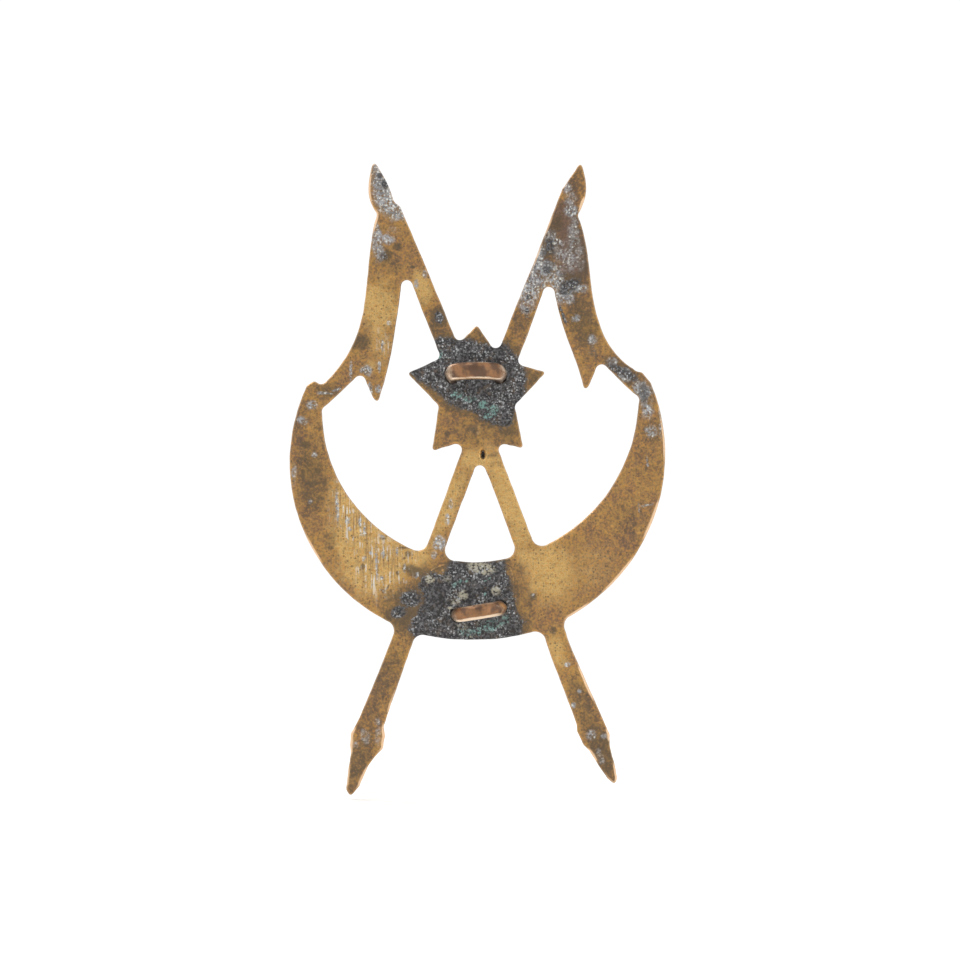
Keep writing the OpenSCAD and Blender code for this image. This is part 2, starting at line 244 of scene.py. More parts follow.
def fill_outline(rim, after, before, rings, grid):
    """Points inside an outline: rings at set distances in from it, then a hexagonal grid,
    joined to triangles by Delaunay's rule. Returns the points, the triangles, each point's
    distance from the rim, and the rim's edges."""
    start, end = rim, rim[after]
    along_rim = rim[after] - rim[before]
    inward = np.c_[-along_rim[:, 1], along_rim[:, 0]] / np.linalg.norm(along_rim, axis=1)[:, None]
    kept, depths = [rim], [np.zeros(len(rim))]
    for k, depth in enumerate(rings):
        ring = rim + inward * depth
        ring = (ring + ring[after]) / 2 if k % 2 else ring
        near, inside = edge_distance(ring, start, end)
        fits = inside & (near > depth * 0.9)
        kept.append(ring[fits])
        depths.append(near[fits])
    low, high = rim.min(0), rim.max(0)
    rows = np.arange(low[1], high[1], grid * math.sqrt(0.75))
    columns = np.arange(low[0], high[0], grid)
    gx, gz = np.meshgrid(columns, rows)
    gx = gx + (np.arange(len(rows)) % 2)[:, None] * grid / 2
    inside = inside_rows(gx, gz, start, end)
    field = np.c_[gx[inside], gz[inside]]
    near, _ = edge_distance(field, start, end)
    fits = near > rings[-1] + grid * 0.5
    points = np.concatenate(kept + [field[fits]])
    near = np.concatenate(depths + [near[fits]])
    edges = np.c_[np.arange(len(rim)), after]
    filled = geometry.delaunay_2d_cdt(points.tolist(), edges.tolist(), [], 1, 1e-7, True)
    source = np.array([ids[0] if ids else -1 for ids in filled[3]])
    points = np.array([tuple(p) for p in filled[0]])
    near = np.where(source < 0, 0, near[source])
    tris = np.array(filled[2])
    on_rim = np.flatnonzero((near[tris] == 0).all(1))
    _, inside = edge_distance(points[tris[on_rim]].mean(1), start, end)
    tris = np.delete(tris, on_rim[~inside], 0)
    way = np.concatenate([tris[:, [0, 1]], tris[:, [1, 2]], tris[:, [2, 0]]])
    n = len(points)
    rim_edges = way[~np.isin(way[:, 0] * n + way[:, 1], way[:, 1] * n + way[:, 0])]
    return points, tris, near, rim_edges


def make_object(name, co, faces, values=None, smooth=True):
    """A mesh object at the origin from points in millimetres, with point attributes."""
    mesh = bpy.data.meshes.new(name)
    mesh.from_pydata((co * MM).tolist(), [], faces)
    mesh.validate()
    mesh.polygons.foreach_set("use_smooth", [smooth] * len(mesh.polygons))
    for key, value in (values or {}).items():
        mesh.attributes.new(key, "FLOAT", "POINT").data.foreach_set("value", value.astype(np.float32))
    obj = bpy.data.objects.new(name, mesh)
    bpy.context.scene.collection.objects.link(obj)
    return obj


def two_sided(points, tris, rim_edges, back, front, values, front_values):
    """Closes a plate: the back at y = back, the front at y = front, and a wall of quads
    along the rim. Returns the points, the faces and the values for both sides; a value
    that front_values lacks is 0 there."""
    n = len(points)
    co = np.concatenate([
        np.c_[points[:, 0], back, points[:, 1]],
        np.c_[points[:, 0], front, points[:, 1]]])
    a, b = rim_edges[:, 0], rim_edges[:, 1]
    wall = np.c_[b, a, a + n, b + n]
    faces = tris.tolist() + (tris[:, ::-1] + n).tolist() + wall.tolist()
    none = np.zeros(n)
    both = {key: np.concatenate([value, front_values.get(key, none)]) for key, value in values.items()}
    return co, faces, both


# ---------------------------------------------------------------- the badge's main places

# Tips of the lances, spear then butt, and the star's centre, in millimetres
LANCES = (((-8.65, 27.8), (11.5, -24.6)), ((8.7, 27.7), (-11.1, -25.2)))
STAR = (0.0, 8.3)
STAR_POINTS = 5
FERRULE_UP = 4.6
BLADE = 4.6

# Crescent: the chord's ends and the bow of each half's outer and inner edge
CRESCENT = {
    -1: (((-14.3, 8.9), (0.0, -12.4), 7.3), ((0.0, -5.9), (-13.2, 6.7), -3.8)),
    1: (((0.0, -12.4), (14.65, 9.2), 7.1), ((13.75, 7.0), (0.0, -5.9), -3.65)),
}

# The patina, by kind: each mark is (x, z, half width, half height, turn in degrees, depth)
# and each field is a closed line round a larger patch. On the brass, bright is rubbed clean,
# umber is a brown stain, plum is toned by heat, tin is wiped solder and streak is brushed or
# scored lines. Soot is burnt flux, and on it green is copper salts, pale is baked crust and
# dull has fewer crystals.
MARKS = {
    "bright": [
        (-8.3, 15.6, 1.5, 2.0, 8, 1.0), (-4.6, 17.2, 0.7, 1.4, 20, 1.0),
        (2.7, -0.7, 1.0, 4.2, 21, 1.0), (-2.5, -1.0, 1.0, 3.6, -21, 0.8),
        (0.2, 2.6, 1.6, 0.9, 0, 0.9), (6.8, -13.4, 0.7, 1.6, 21, 0.7),
        (-8.2, 12.6, 0.9, 2.0, 10, 0.6), (9.6, -6.4, 1.6, 2.2, -40, 0.35),
        (-8.9, 10.6, 0.5, 0.6, 0, 0.5),
    ],
    "umber": [
        (-14.4, 4.0, 0.5, 0.4, 0, 1.0), (-14.6, 1.5, 0.3, 0.7, 0, 0.9), (-13.4, 1.8, 0.35, 0.3, 0, 1.0),
        (-13.9, 0.7, 0.5, 0.3, 0, 1.0), (-12.9, 1.0, 0.3, 0.25, 0, 0.8), (-14.0, -0.7, 0.35, 0.2, 0, 0.9),
        (-13.2, -0.5, 0.25, 0.25, 0, 0.8), (-13.1, 5.4, 0.35, 0.3, 0, 0.7), (-12.3, -4.0, 0.5, 0.9, -20, 0.5),
        (-9.8, 12.6, 0.9, 0.7, 30, 0.9), (-12.6, 8.5, 1.1, 0.7, 0, 0.7), (4.9, 9.3, 0.9, 0.9, 0, 0.8),
        (0.2, 13.2, 0.7, 0.6, 0, 0.6), (0.0, 5.2, 2.6, 1.0, 0, 0.5), (8.8, 14.4, 1.2, 2.6, 15, 0.75),
        (11.6, 11.0, 1.0, 0.6, -30, 0.6), (-7.5, -15.5, 1.0, 3.0, -21, 0.55), (2.6, 4.4, 0.8, 0.9, 0, 0.6),
        (-9.9, -22.5, 0.9, 2.6, -21, 0.7), (8.7, -17.4, 0.9, 2.4, 21, 0.6), (10.5, -21.8, 1.0, 2.6, 20, 0.85),
        (8.1, 26.2, 0.7, 1.6, 0, 0.5), (14.9, 5.0, 0.7, 1.2, 0, 0.5),
        (-13.9, 1.2, 1.3, 3.4, 5, 0.7), (-14.6, 6.0, 0.9, 2.2, -15, 0.4),
        (-7.6, 19.9, 0.5, 0.5, 0, 1.0), (-6.7, 20.6, 0.4, 0.35, 0, 0.9),
        (-6.9, 19.0, 0.5, 0.8, 0, 0.5), (-5.4, 18.9, 0.2, 0.2, 0, 0.8),
        (-9.5, 13.0, 0.4, 0.3, 0, 0.6), (-10.0, 12.2, 0.4, 0.3, 0, 0.6),
        (8.5, 22.0, 0.6, 2.4, -12, 0.6), (6.6, 22.4, 0.5, 1.0, -20, 0.8),
        (9.0, 19.4, 0.5, 2.0, -4, 0.6), (5.8, 20.4, 0.5, 0.8, -20, 1.0),
        (3.6, 14.4, 1.0, 1.2, -20, 0.5), (-5.3, -6.6, 1.0, 0.5, -20, 1.0),
        (-5.9, -10.2, 1.9, 1.6, 20, 1.0), (-7.0, -9.3, 1.3, 1.1, 0, 0.7),
        (3.9, -9.5, 0.9, 3.0, 8, 0.5), (3.4, -6.6, 0.6, 0.9, 0, 0.5),
        (12.6, -2.4, 1.4, 1.5, 0, 0.4), (14.3, 2.6, 1.0, 2.2, 0, 0.3),
        (6.4, -11.6, 0.3, 0.3, 0, 1.0), (-8.9, -19.0, 0.9, 2.4, -21, 0.5),
        (9.5, -19.4, 0.8, 1.6, 21, 0.7), (-4.2, -11.4, 1.6, 0.9, 0, 1.0),
        (2.6, 5.2, 1.0, 0.8, 0, 0.8), (-2.4, 8.2, 1.4, 0.6, 30, 0.5),
        (-0.2, 5.15, 0.45, 0.4, 0, 1.0), (0.0, 4.2, 0.25, 0.3, 0, 0.7),
        (-2.5, 4.9, 0.25, 0.2, 0, 0.8), (-2.9, 4.1, 0.3, 0.25, 0, 0.5),
        (1.7, 4.3, 0.4, 0.5, 0, 0.5), (-3.9, 13.6, 0.8, 1.0, 20, 0.7),
        (-9.6, -6.25, 0.2, 0.25, 0, 1.0), (-12.3, -4.7, 0.2, 0.15, 0, 0.9),
        (-7.9, -8.35, 0.18, 0.25, 40, 1.0), (-7.5, -7.95, 0.08, 0.25, -30, 1.0),
        (-6.7, -6.8, 0.15, 0.2, 0, 0.9), (-7.9, -3.9, 0.3, 0.12, 0, 0.8),
        (-5.8, -5.2, 0.25, 0.3, 0, 0.8), (-6.3, -4.7, 0.5, 0.12, 0, 0.8),
        (4.7, -8.8, 0.35, 0.3, 0, 1.0), (8.5, -16.8, 0.3, 0.3, 0, 0.7),
        (1.25, 3.1, 0.4, 0.2, 0, 0.6), (-1.4, 3.2, 0.3, 0.15, 0, 0.5),
    ],
    "plum": [
        (7.9, 20.5, 1.5, 3.6, 5, 1.0), (8.0, 24.8, 0.7, 1.8, 0, 0.6), (6.2, 21.2, 1.0, 2.0, -20, 0.9),
        (8.4, 16.8, 1.1, 1.6, 0, 0.6), (-14.9, 4.0, 0.5, 3.0, 0, 0.5), (-10.0, -23.0, 0.8, 2.0, -20, 0.5),
        (3.7, 14.6, 0.8, 1.6, -20, 0.5), (12.9, -3.4, 0.9, 2.4, -20, 0.4), (7.3, 22.8, 1.2, 2.0, 0, 1.0),
        (8.2, 18.6, 1.4, 1.8, 0, 1.0), (5.2, 19.0, 0.9, 2.4, -22, 0.9), (12.2, 10.1, 1.9, 0.7, -28, 0.8),
        (-8.2, -16.5, 0.8, 2.8, -21, 0.6), (10.4, -21.4, 0.7, 1.6, 20, 0.5),
    ],
    "tin": [
        (14.3, 2.6, 0.08, 0.45, 8, 1.0), (14.3, -1.1, 0.5, 0.08, 12, 1.0), (13.6, -1.4, 0.07, 0.5, 8, 0.9),
        (-7.95, 12.3, 0.11, 0.6, 0, 1.0), (-8.2, 10.5, 0.11, 0.55, 0, 1.0), (-10.6, 10.2, 0.1, 0.8, 0, 1.0),
        (-8.95, 8.7, 0.16, 0.55, 10, 1.0), (-9.55, 10.2, 0.4, 0.25, 0, 1.0), (-8.3, 8.6, 0.25, 0.35, 0, 0.9),
        (-12.8, 8.3, 0.7, 0.1, -3, 1.0), (-11.8, 8.6, 0.35, 0.09, 15, 1.0), (-13.8, 7.3, 0.5, 0.4, 0, 0.9),
        (-14.7, 6.1, 0.4, 0.3, 0, 0.8), (-7.4, 14.2, 0.2, 0.2, 0, 0.7), (-8.3, 21.6, 0.3, 0.9, 8, 0.9),
        (-3.1, -4.3, 0.5, 0.5, -20, 1.0), (-3.6, -5.3, 0.3, 0.3, 0, 0.8), (-11.75, -1.2, 0.16, 1.5, 3, 0.9),
        (-10.9, -2.4, 0.16, 0.3, 0, 1.0), (-10.7, -3.1, 0.2, 0.16, 0, 1.0), (-9.85, -2.5, 0.15, 0.4, 0, 1.0),
        (-9.45, -3.2, 0.11, 0.6, 0, 1.0), (-9.45, -5.6, 0.2, 0.25, 0, 1.0), (-8.45, -5.8, 0.1, 1.8, 2, 0.9),
        (-8.9, -5.1, 0.14, 0.14, 0, 1.0), (-7.9, -5.2, 0.16, 0.35, 0, 1.0), (-8.0, -3.7, 0.3, 0.12, -20, 0.9),
        (-6.1, -6.4, 0.12, 0.4, 0, 1.0), (-6.7, -5.0, 0.12, 0.4, 0, 1.0), (-8.0, -7.2, 0.15, 0.2, 0, 1.0),
        (-8.4, 20.9, 0.55, 1.3, 5, 0.8), (-7.5, 21.2, 0.6, 0.45, 0, 0.8),
        (-7.2, 22.0, 0.7, 0.3, 0, 0.4), (7.9, 23.6, 0.55, 0.45, 0, 1.0),
        (7.8, 24.7, 0.5, 0.6, 0, 0.6), (7.6, 25.4, 0.4, 0.6, 0, 0.5),
        (6.2, 21.6, 0.6, 0.5, 0, 0.6), (6.6, 21.0, 0.6, 0.3, 0, 0.8),
        (8.1, 21.3, 0.5, 1.8, 0, 0.5), (7.7, 19.8, 1.2, 1.3, 0, 0.55),
        (5.8, 18.7, 0.8, 0.7, 0, 1.0), (5.1, 19.4, 0.35, 1.6, -22, 0.9),
        (4.4, 16.9, 0.8, 1.4, -22, 1.0), (5.3, 17.7, 0.9, 0.7, 0, 0.9),
        (6.6, 17.8, 0.7, 0.8, 0, 0.9), (7.3, 16.6, 0.8, 0.9, 0, 0.9),
        (8.8, 17.1, 0.6, 0.35, 0, 1.0), (4.3, 15.5, 0.5, 0.7, -22, 0.7),
        (8.3, 14.6, 0.35, 0.35, 0, 0.8), (9.7, 12.8, 0.4, 0.4, 0, 0.7),
        (11.3, 10.9, 0.5, 0.4, 0, 0.8), (12.4, 9.9, 0.6, 0.5, -30, 0.8),
        (13.9, 8.5, 0.7, 0.9, 20, 0.9), (14.3, 6.9, 0.5, 0.8, 0, 0.8),
        (14.6, 5.1, 0.45, 0.5, 0, 0.8), (15.45, 6.5, 0.2, 2.0, 0, 0.6),
        (-13.7, 7.4, 0.3, 0.3, 0, 0.7), (-14.5, 5.9, 0.3, 0.3, 0, 0.6),
        (-13.65, 3.1, 0.25, 0.25, 0, 0.9), (-15.4, 1.5, 0.25, 0.9, 0, 0.6),
        (-14.0, -0.8, 0.2, 0.2, 0, 0.5), (-9.2, 10.2, 0.35, 0.5, 0, 1.0),
        (-5.1, 17.5, 0.18, 0.4, 0, 0.8), (-4.4, 18.3, 0.2, 0.4, 0, 0.8),
        (-3.3, -4.2, 0.35, 0.7, -20, 0.9), (-2.5, -2.3, 0.2, 0.5, 0, 0.8),
        (-2.2, -1.0, 0.2, 0.5, 0, 0.6), (7.6, -14.5, 0.25, 0.2, 0, 1.0),
        (8.1, -17.9, 0.2, 0.25, 0, 1.0), (9.6, -20.4, 0.45, 0.4, 0, 0.55),
        (10.7, -20.5, 0.3, 0.2, 0, 0.55), (10.4, -22.3, 0.3, 0.7, 20, 0.5),
        (-9.4, -20.5, 0.4, 0.6, 0, 0.55), (-8.3, -20.6, 0.25, 0.9, 0, 0.5),
        (-8.4, -19.3, 0.3, 0.3, 0, 0.5), (-10.2, -21.2, 0.25, 0.3, 0, 0.5),
        (4.7, -8.7, 0.14, 0.14, 0, 1.0), (-5.05, -7.0, 0.14, 0.3, -15, 1.0),
        (8.6, -16.75, 0.18, 0.16, 0, 0.8), (-3.6, 12.3, 0.2, 0.2, 0, 0.4),
        (4.7, 12.9, 0.35, 0.5, -20, 0.5),
    ],
    "soot": [
        (12.2, 10.1, 1.7, 0.4, -28, 0.75), (14.0, 8.4, 0.5, 1.0, 10, 0.6), (14.6, 5.2, 0.35, 0.35, 0, 0.5),
        (5.9, 18.7, 0.5, 0.45, 0, 0.7), (7.2, 18.2, 0.4, 0.3, 0, 0.5),
        (-5.6, -9.0, 0.85, 0.75, 0, 1.0), (-6.6, -10.1, 0.7, 0.5, 20, 1.0),
        (-3.2, 14.7, 0.35, 0.55, 15, 1.0), (6.1, 20.7, 0.4, 0.8, 0, 0.8),
        (6.0, 20.1, 0.7, 0.3, 0, 0.6), (7.8, 17.4, 0.9, 0.55, 20, 0.9),
        (7.4, 16.8, 0.6, 0.25, 0, 0.8), (6.0, 19.3, 0.5, 0.3, 0, 0.6),
        (-7.7, 25.9, 0.35, 0.4, 0, 0.8), (-8.2, 26.6, 0.3, 0.25, 0, 0.7),
        (4.35, 16.35, 0.28, 0.24, 0, 0.9), (4.2, 15.25, 0.2, 0.2, 0, 0.9),
        (9.7, 11.8, 0.5, 0.5, 0, 0.4), (-7.9, 19.8, 0.35, 0.4, 0, 0.6),
        (1.45, 12.35, 0.5, 0.4, 0, 0.5), (7.2, 14.9, 0.12, 0.9, 18, 0.9),
        (0.5, 3.1, 0.16, 0.36, 0, 1.0),
    ],
    "pale": [
        (0.4, -6.35, 1.1, 0.45, -10, 0.9), (0.7, -6.7, 0.4, 0.3, 0, 0.9),
        (-1.2, -8.7, 0.45, 0.4, 0, 0.9), (-1.8, -9.2, 0.5, 0.25, 0, 0.7),
        (-2.3, -9.75, 0.2, 0.1, 10, 0.9), (-3.95, -7.3, 0.4, 0.4, 0, 0.8),
        (-2.5, -7.3, 0.4, 0.35, 0, 0.4), (1.6, -8.3, 0.42, 0.42, 0, 1.0),
        (-1.2, -11.3, 0.8, 0.3, 0, 0.4), (-0.5, -12.15, 0.12, 0.15, 0, 1.0),
        (6.45, 20.85, 0.12, 0.1, 0, 1.0), (6.15, 20.2, 0.1, 0.12, 0, 1.0),
        (4.4, 16.35, 0.13, 0.1, 0, 1.0), (7.95, 18.05, 0.09, 0.09, 0, 1.0),
        (8.2, 17.2, 0.12, 0.08, 0, 1.0), (7.7, 16.7, 0.12, 0.08, 0, 0.8),
    ],
    "dull": [(-3.6, -8.6, 1.1, 1.4, 0, 0.85), (2.4, -8.8, 0.6, 1.6, 0, 0.3), (-4.4, -11.4, 0.8, 0.7, 0, 0.5)],
    "green": [
        (-1.7, 8.2, 0.5, 0.35, 0, 1.0), (-0.6, 7.8, 0.6, 0.3, 0, 0.6),
        (0.5, 7.3, 0.5, 0.35, 0, 0.9), (1.3, 6.9, 0.5, 0.4, 0, 0.9),
        (0.9, 6.4, 0.4, 0.25, 0, 1.0), (-3.2, 11.6, 0.35, 0.5, 0, 0.8),
        (-0.9, -7.4, 0.18, 0.18, 0, 1.0), (0.9, -7.35, 0.35, 0.12, 15, 1.0),
        (-1.4, -7.5, 0.2, 0.15, 0, 0.9), (0.7, -8.6, 0.12, 0.2, 0, 1.0),
        (-1.8, -7.8, 0.4, 0.3, 0, 0.5), (1.2, -11.2, 1.3, 0.5, 10, 0.7),
        (2.3, -10.7, 0.5, 0.5, 0, 0.7), (-0.8, -11.7, 0.9, 0.4, 0, 0.6),
        (-8.35, -19.2, 0.2, 0.2, 0, 0.5), (0.2, -11.9, 0.15, 0.2, 0, 1.0),
    ],
    "streak": [
        (-11.3, -1.2, 0.9, 2.0, 0, 1.0), (-9.8, -3.0, 1.2, 1.8, 0, 1.0),
        (-8.4, -6.2, 1.6, 2.4, 0, 0.9), (-6.4, -6.2, 0.9, 1.4, 0, 0.8),
        (-7.6, 10.6, 0.6, 2.6, 10, 0.8), (4.6, 12.4, 0.7, 1.5, -20, 0.5),
        (-5.2, -5.2, 0.5, 0.6, 0, 0.5),
    ],
}
FIELDS = {
    "bright": [[(-12.1, 0.8), (-11, 0.6), (-9, -2), (-6, -4.2), (-4, -4.6), (-4.6, -6.2),
                (-6.4, -7.4), (-7.6, -8.6), (-9.6, -8.8), (-11.2, -7), (-12, -4.4), (-12.2, -1)],
               [(2.6, -3.8), (4.4, -4.9), (6.4, -4.6), (7.8, -5.6), (8.2, -7.2), (7.2, -8.8), (6.0, -9.2),
                (4.8, -8.4), (4.3, -6.8), (3.4, -5.8)]],
    "tin": [[(-8.7, 28), (-8.9, 26), (-8.6, 24.4), (-8, 23.6), (-7.6, 23.2), (-6.8, 22.8),
             (-6, 22.8), (-6.2, 24), (-7.2, 26), (-8, 27.6)]],
    "soot": [
        [(-6, 10.2), (-5, 9.3), (-4, 8.9), (-3.3, 8.3), (-2.4, 7.5), (-1.2, 7.0), (0, 6.6),
         (0.8, 5.9), (2.1, 5.4), (2.9, 5.7), (3.3, 7), (4.1, 8.4), (4.2, 10.0), (3.5, 11.2),
         (2.4, 12.4), (2, 12.9), (0.9, 12.3), (-0.5, 12.8), (-2.4, 13.0), (-3.6, 12.9),
         (-4.2, 11.4), (-5, 10.8)],
        [(-2.2, -5.8), (2.3, -5.8), (2.5, -7), (3.0, -8), (3.2, -9), (3.4, -10), (3.8, -11),
         (3.6, -12.4), (0, -13), (-5.2, -12.4), (-5.8, -11.6), (-5.5, -10.8), (-4.9, -9.9),
         (-4.5, -9.0), (-4.9, -8.0), (-4.7, -7.1), (-4.0, -6.8), (-3.0, -6.9), (-2.4, -6.4)],
    ],
}

# Places where the plate's back edge is filed off wider: (x, z, reach, extra width)
FILED = [
    (-9.0, 25.5, 1.9, 0.16), (-8.6, 22.8, 1.6, 0.14), (6.0, 22.4, 1.4, 0.10), (5.0, 19.6, 2.4, 0.10),
    (8.9, 24.2, 0.9, 0.24), (15.5, 4.5, 3.4, 0.12), (14.6, -2.4, 3.0, 0.20), (12.0, -7.0, 3.0, 0.16),
    (8.6, -10.4, 2.4, 0.14), (-14.0, -5.0, 3.0, 0.10), (-10.5, -20.8, 1.6, 0.22), (-8.0, -20.6, 1.8, 0.20),
    (-7.2, -17.5, 1.6, 0.12), (-9.3, -24.0, 1.6, 0.14), (-10.8, -24.0, 1.8, 0.10), (9.4, -16.0, 2.6, 0.18),
    (11.2, -20.4, 0.9, 0.20), (9.6, -22.2, 1.0, 0.20), (11.6, -23.5, 1.4, 0.14), (11.0, -18.8, 1.0, 0.12),
]

# Of each extra width, the share that wear has left, and the most that they may add up to
FILED_LEFT = 0.7
FILED_MOST = 0.3

# Pits and struck dents in the back: (x, z, half width, half height, depth)
PITS = [
    (0.5, 3.15, 0.2, 0.42, 0.6), (-0.15, 5.15, 0.4, 0.35, 0.12), (-7.9, -8.35, 0.16, 0.22, 0.15),
    (-7.5, -7.95, 0.1, 0.25, 0.1), (4.7, -8.75, 0.3, 0.28, 0.1), (4.35, 16.35, 0.3, 0.26, 0.1),
    (4.2, 15.25, 0.2, 0.2, 0.08), (-3.2, 14.7, 0.35, 0.5, 0.1), (6.4, -11.6, 0.28, 0.28, 0.1),
    (-9.5, -6.25, 0.18, 0.2, 0.08), (9.65, 14.45, 0.15, 0.15, 0.1), (8.65, 16.35, 0.2, 0.2, 0.06),
    (-5.4, 18.9, 0.2, 0.2, 0.08), (1.2, 3.1, 0.3, 0.14, 0.05),
]


def mark_values(kind, x, z, spread=0.0):
    """How strongly a kind of patina lies at each point, 0 to 1: 1 inside a mark, falling to
    0 past its edge, which noise pushes in and out. Spread moves the edges of all but the
    small marks outwards."""
    drift = 0.35 * rough_noise(x, z, 0.9, 40) + 0.2 * noise(x, z, 0.3, 47)
    value = np.zeros_like(x)
    for mx, mz, rx, rz, turn, depth in MARKS.get(kind, []):
        if spread > min(rx, rz) * 3:
            continue
        c, s = math.cos(math.radians(turn)), math.sin(math.radians(turn))
        u = ((x - mx) * c + (z - mz) * s) / (rx + spread / 2)
        v = (-(x - mx) * s + (z - mz) * c) / (rz + spread / 2)
        soft = 0.35 + 0.25 * min(1.0, rx, rz)
        value = np.maximum(value, depth * smooth_step(1 + soft, 1 - soft, np.hypot(u, v) + drift * soft))
    reach = 1.3 if kind == "bright" else 0.45 + spread / 2
    for field in FIELDS.get(kind, []):
        line = np.array(field, float)
        near, inside = edge_distance(np.c_[x, z], line, np.roll(line, -1, 0))
        depth = np.where(inside, near, -near) + reach * drift + spread / 2
        value = np.maximum(value, smooth_step(-reach, reach, depth))
    return value


def patina(x, z):
    """Every kind of patina at each point, and the brown halo round the burnt patches."""
    values = {kind: mark_values(kind, x, z) for kind in sorted(set(MARKS) | set(FIELDS))}
    values["halo"] = mark_values("soot", x, z, spread=1.0)
    return values


# ---------------------------------------------------------------- the plate's two faces


def along(x, z, start, end):
    """Distance along the line start-end from its start, and distance from it to a side."""
    way = np.subtract(end, start)
    way = way / np.hypot(*way)
    px, pz = x - start[0], z - start[1]
    return px * way[0] + pz * way[1], px * way[1] - pz * way[0]


def arc_circle(start, end, bow):
    """Centre and radius of the circle through start and end that stands bow out from the
    chord, to the right of the way from start to end."""
    start, end = np.array(start), np.array(end)
    chord = np.hypot(*(end - start))
    way = (end - start) / chord
    r = (chord * chord / 4 + bow * bow) / (2 * bow)
    return (start + end) / 2 + np.array([way[1], -way[0]]) * (bow - r), abs(r)


def crescent_depth(x, z):
    """Distance into the crescent from its nearer edge: negative outside it."""
    depth = {}
    for side, (outer, inner) in CRESCENT.items():
        (co, ro), (ci, ri) = arc_circle(*outer), arc_circle(*inner)
        depth[side] = np.minimum(ro - np.hypot(x - co[0], z - co[1]), np.hypot(x - ci[0], z - ci[1]) - ri)
    return np.where(x < 0, depth[-1], depth[1])


def star_height(x, z, r_out=5.6, r_in=3.1, peak=1.2, edge=0.5):
    """Ten sloping facets: the height falls evenly from the peak at the star's centre to its
    edge, where the edge is the straight line from a point to the next inner corner."""
    px, pz = x - STAR[0], z - STAR[1]
    step = math.pi / STAR_POINTS
    angle = np.arctan2(px, pz) % (2 * step)
    angle = np.minimum(angle, 2 * step - angle)
    r = np.hypot(px, pz)
    # On the edge line through (r_out, angle 0) and (r_in, angle step) this share is 1.
    u, v = r * np.cos(angle), r * np.sin(angle)
    slope = (r_out - r_in * math.cos(step)) / (r_in * math.sin(step))
    share = (u + slope * v) / r_out
    return np.where(share < 1, edge + (peak - edge) * (1 - share), 0)


def front_relief(x, z, near):
    """Height of the raised front above the plate's edge. It is the greatest of the pennons'
    rippled cloth, the crescent's dome, the spears' roofs, the shafts with their ferrule
    rings, and the star's facets, and it fades out at the plate's edge."""
    rise = smooth_step(0.3, 0.62, near)
    relief = 0.35 * rise
    cloth = 0.1 * np.sin(z * 1.5 + np.abs(x) * 0.5 + 0.6) * rise
    relief += np.where(z > 8.5, cloth, 0)
    into = crescent_depth(x, z)
    relief += np.where(into > 0, 0.3 * smooth_step(0.5, 2.6, into), 0) * rise
    for spear, butt in LANCES:
        length = math.dist(spear, butt)
        d, w = along(x, z, spear, butt)
        w = np.abs(w)
        at_blade = (d < BLADE) & (w < 2.4)
        relief = np.where(at_blade, 0.45 * np.clip(near, 0, 1.3), relief)
        radius = np.interp(d, [BLADE - 2, BLADE, length - FERRULE_UP, length - 1], [0.45, 0.72, 0.98, 0.25])
        ring = np.abs(d - (length - FERRULE_UP))
        radius = radius + 0.2 * smooth_step(0.5, 0.4, ring)
        radius = radius + 0.14 * smooth_step(0.28, 0.18, np.abs(ring - 0.9))
        bar = np.sqrt(np.clip(radius**2 - w**2, 0, None))
        relief = np.maximum(relief, np.where((d > 1) & (d < length - 0.6), bar, 0))
    star = star_height(x, z)
    relief = np.where(star > 0, np.maximum(star, 0.4), relief)
    return relief * smooth_step(0.0, 0.45, near)


def round_over(near, radius):
    """Depth of a rounded edge: radius minus the height of a quarter circle that stands on
    the edge's inner end."""
    inner = np.clip(radius - near, 0, None)
    return radius - np.sqrt(np.clip(radius**2 - inner**2, 0, None))


def filed_width(x, z):
    """How much wider the plate's back edge is filed at each point."""
    width = np.zeros_like(x)
    for fx, fz, reach, extra in FILED:
        width += FILED_LEFT * extra * smooth_step(1, 0.2, np.hypot(x - fx, z - fz) / reach)
    return np.clip(width, 0, FILED_MOST)


def edge_radius(x, z, sizes):
    """Radius of the worn edge round the back, which is filed wider in places."""
    return sizes.back_round + filed_width(x, z)


def back_face(x, z, near, sizes):
    """Depth of the back below y = 0: the worn edge, filed wider in places, small pits and
    the waviness that striking leaves."""
    depth = round_over(near, edge_radius(x, z, sizes))
    wave = 0.02 * rough_noise(x, z, 3.0, 11) + 0.008 * noise(x, z, 0.8, 12)
    pits = 0.16 * np.clip(noise(x, z, 0.55, 21) - 0.62, 0, 1)
    pits += 0.1 * np.clip(noise(x, z, 1.3, 22) - 0.75, 0, 1)
    for px, pz, rx, rz, deep in PITS:
        pits += deep * smooth_step(1.15, 0.55, np.hypot((x - px) / rx, (z - pz) / rz))
    return depth + smooth_step(0, 0.4, near) * (0.02 + wave + pits)


# The plate's rings of points, by their distance in from its rim
PLATE_RINGS = (0.025, 0.07, 0.13, 0.2, 0.3)


def plate_rim():
    """The plate's outline with its flats rounded and its sharp corners kept, moved in and
    out by up to 0.035 mm as a file leaves it, and the point after and before each."""
    lines = []
    for line in flat_outline(PLATE, 0.12):
        crisp, soft = relax(line, 1), relax(line, 30)
        corner = smooth_step(0.015, 0.06, np.hypot(*(soft - crisp).T))[:, None]
        lines.append(relax(soft * (1 - corner) + crisp * corner, 1))
    rim, after, before = chain(lines)
    way = rim[after] - rim[before]
    out = np.c_[way[:, 1], -way[:, 0]] / np.linalg.norm(way, axis=1)[:, None]
    filed = 0.035 * rough_noise(rim[:, 0], rim[:, 1], 1.1, 5)
    return rim + out * filed[:, None], after, before


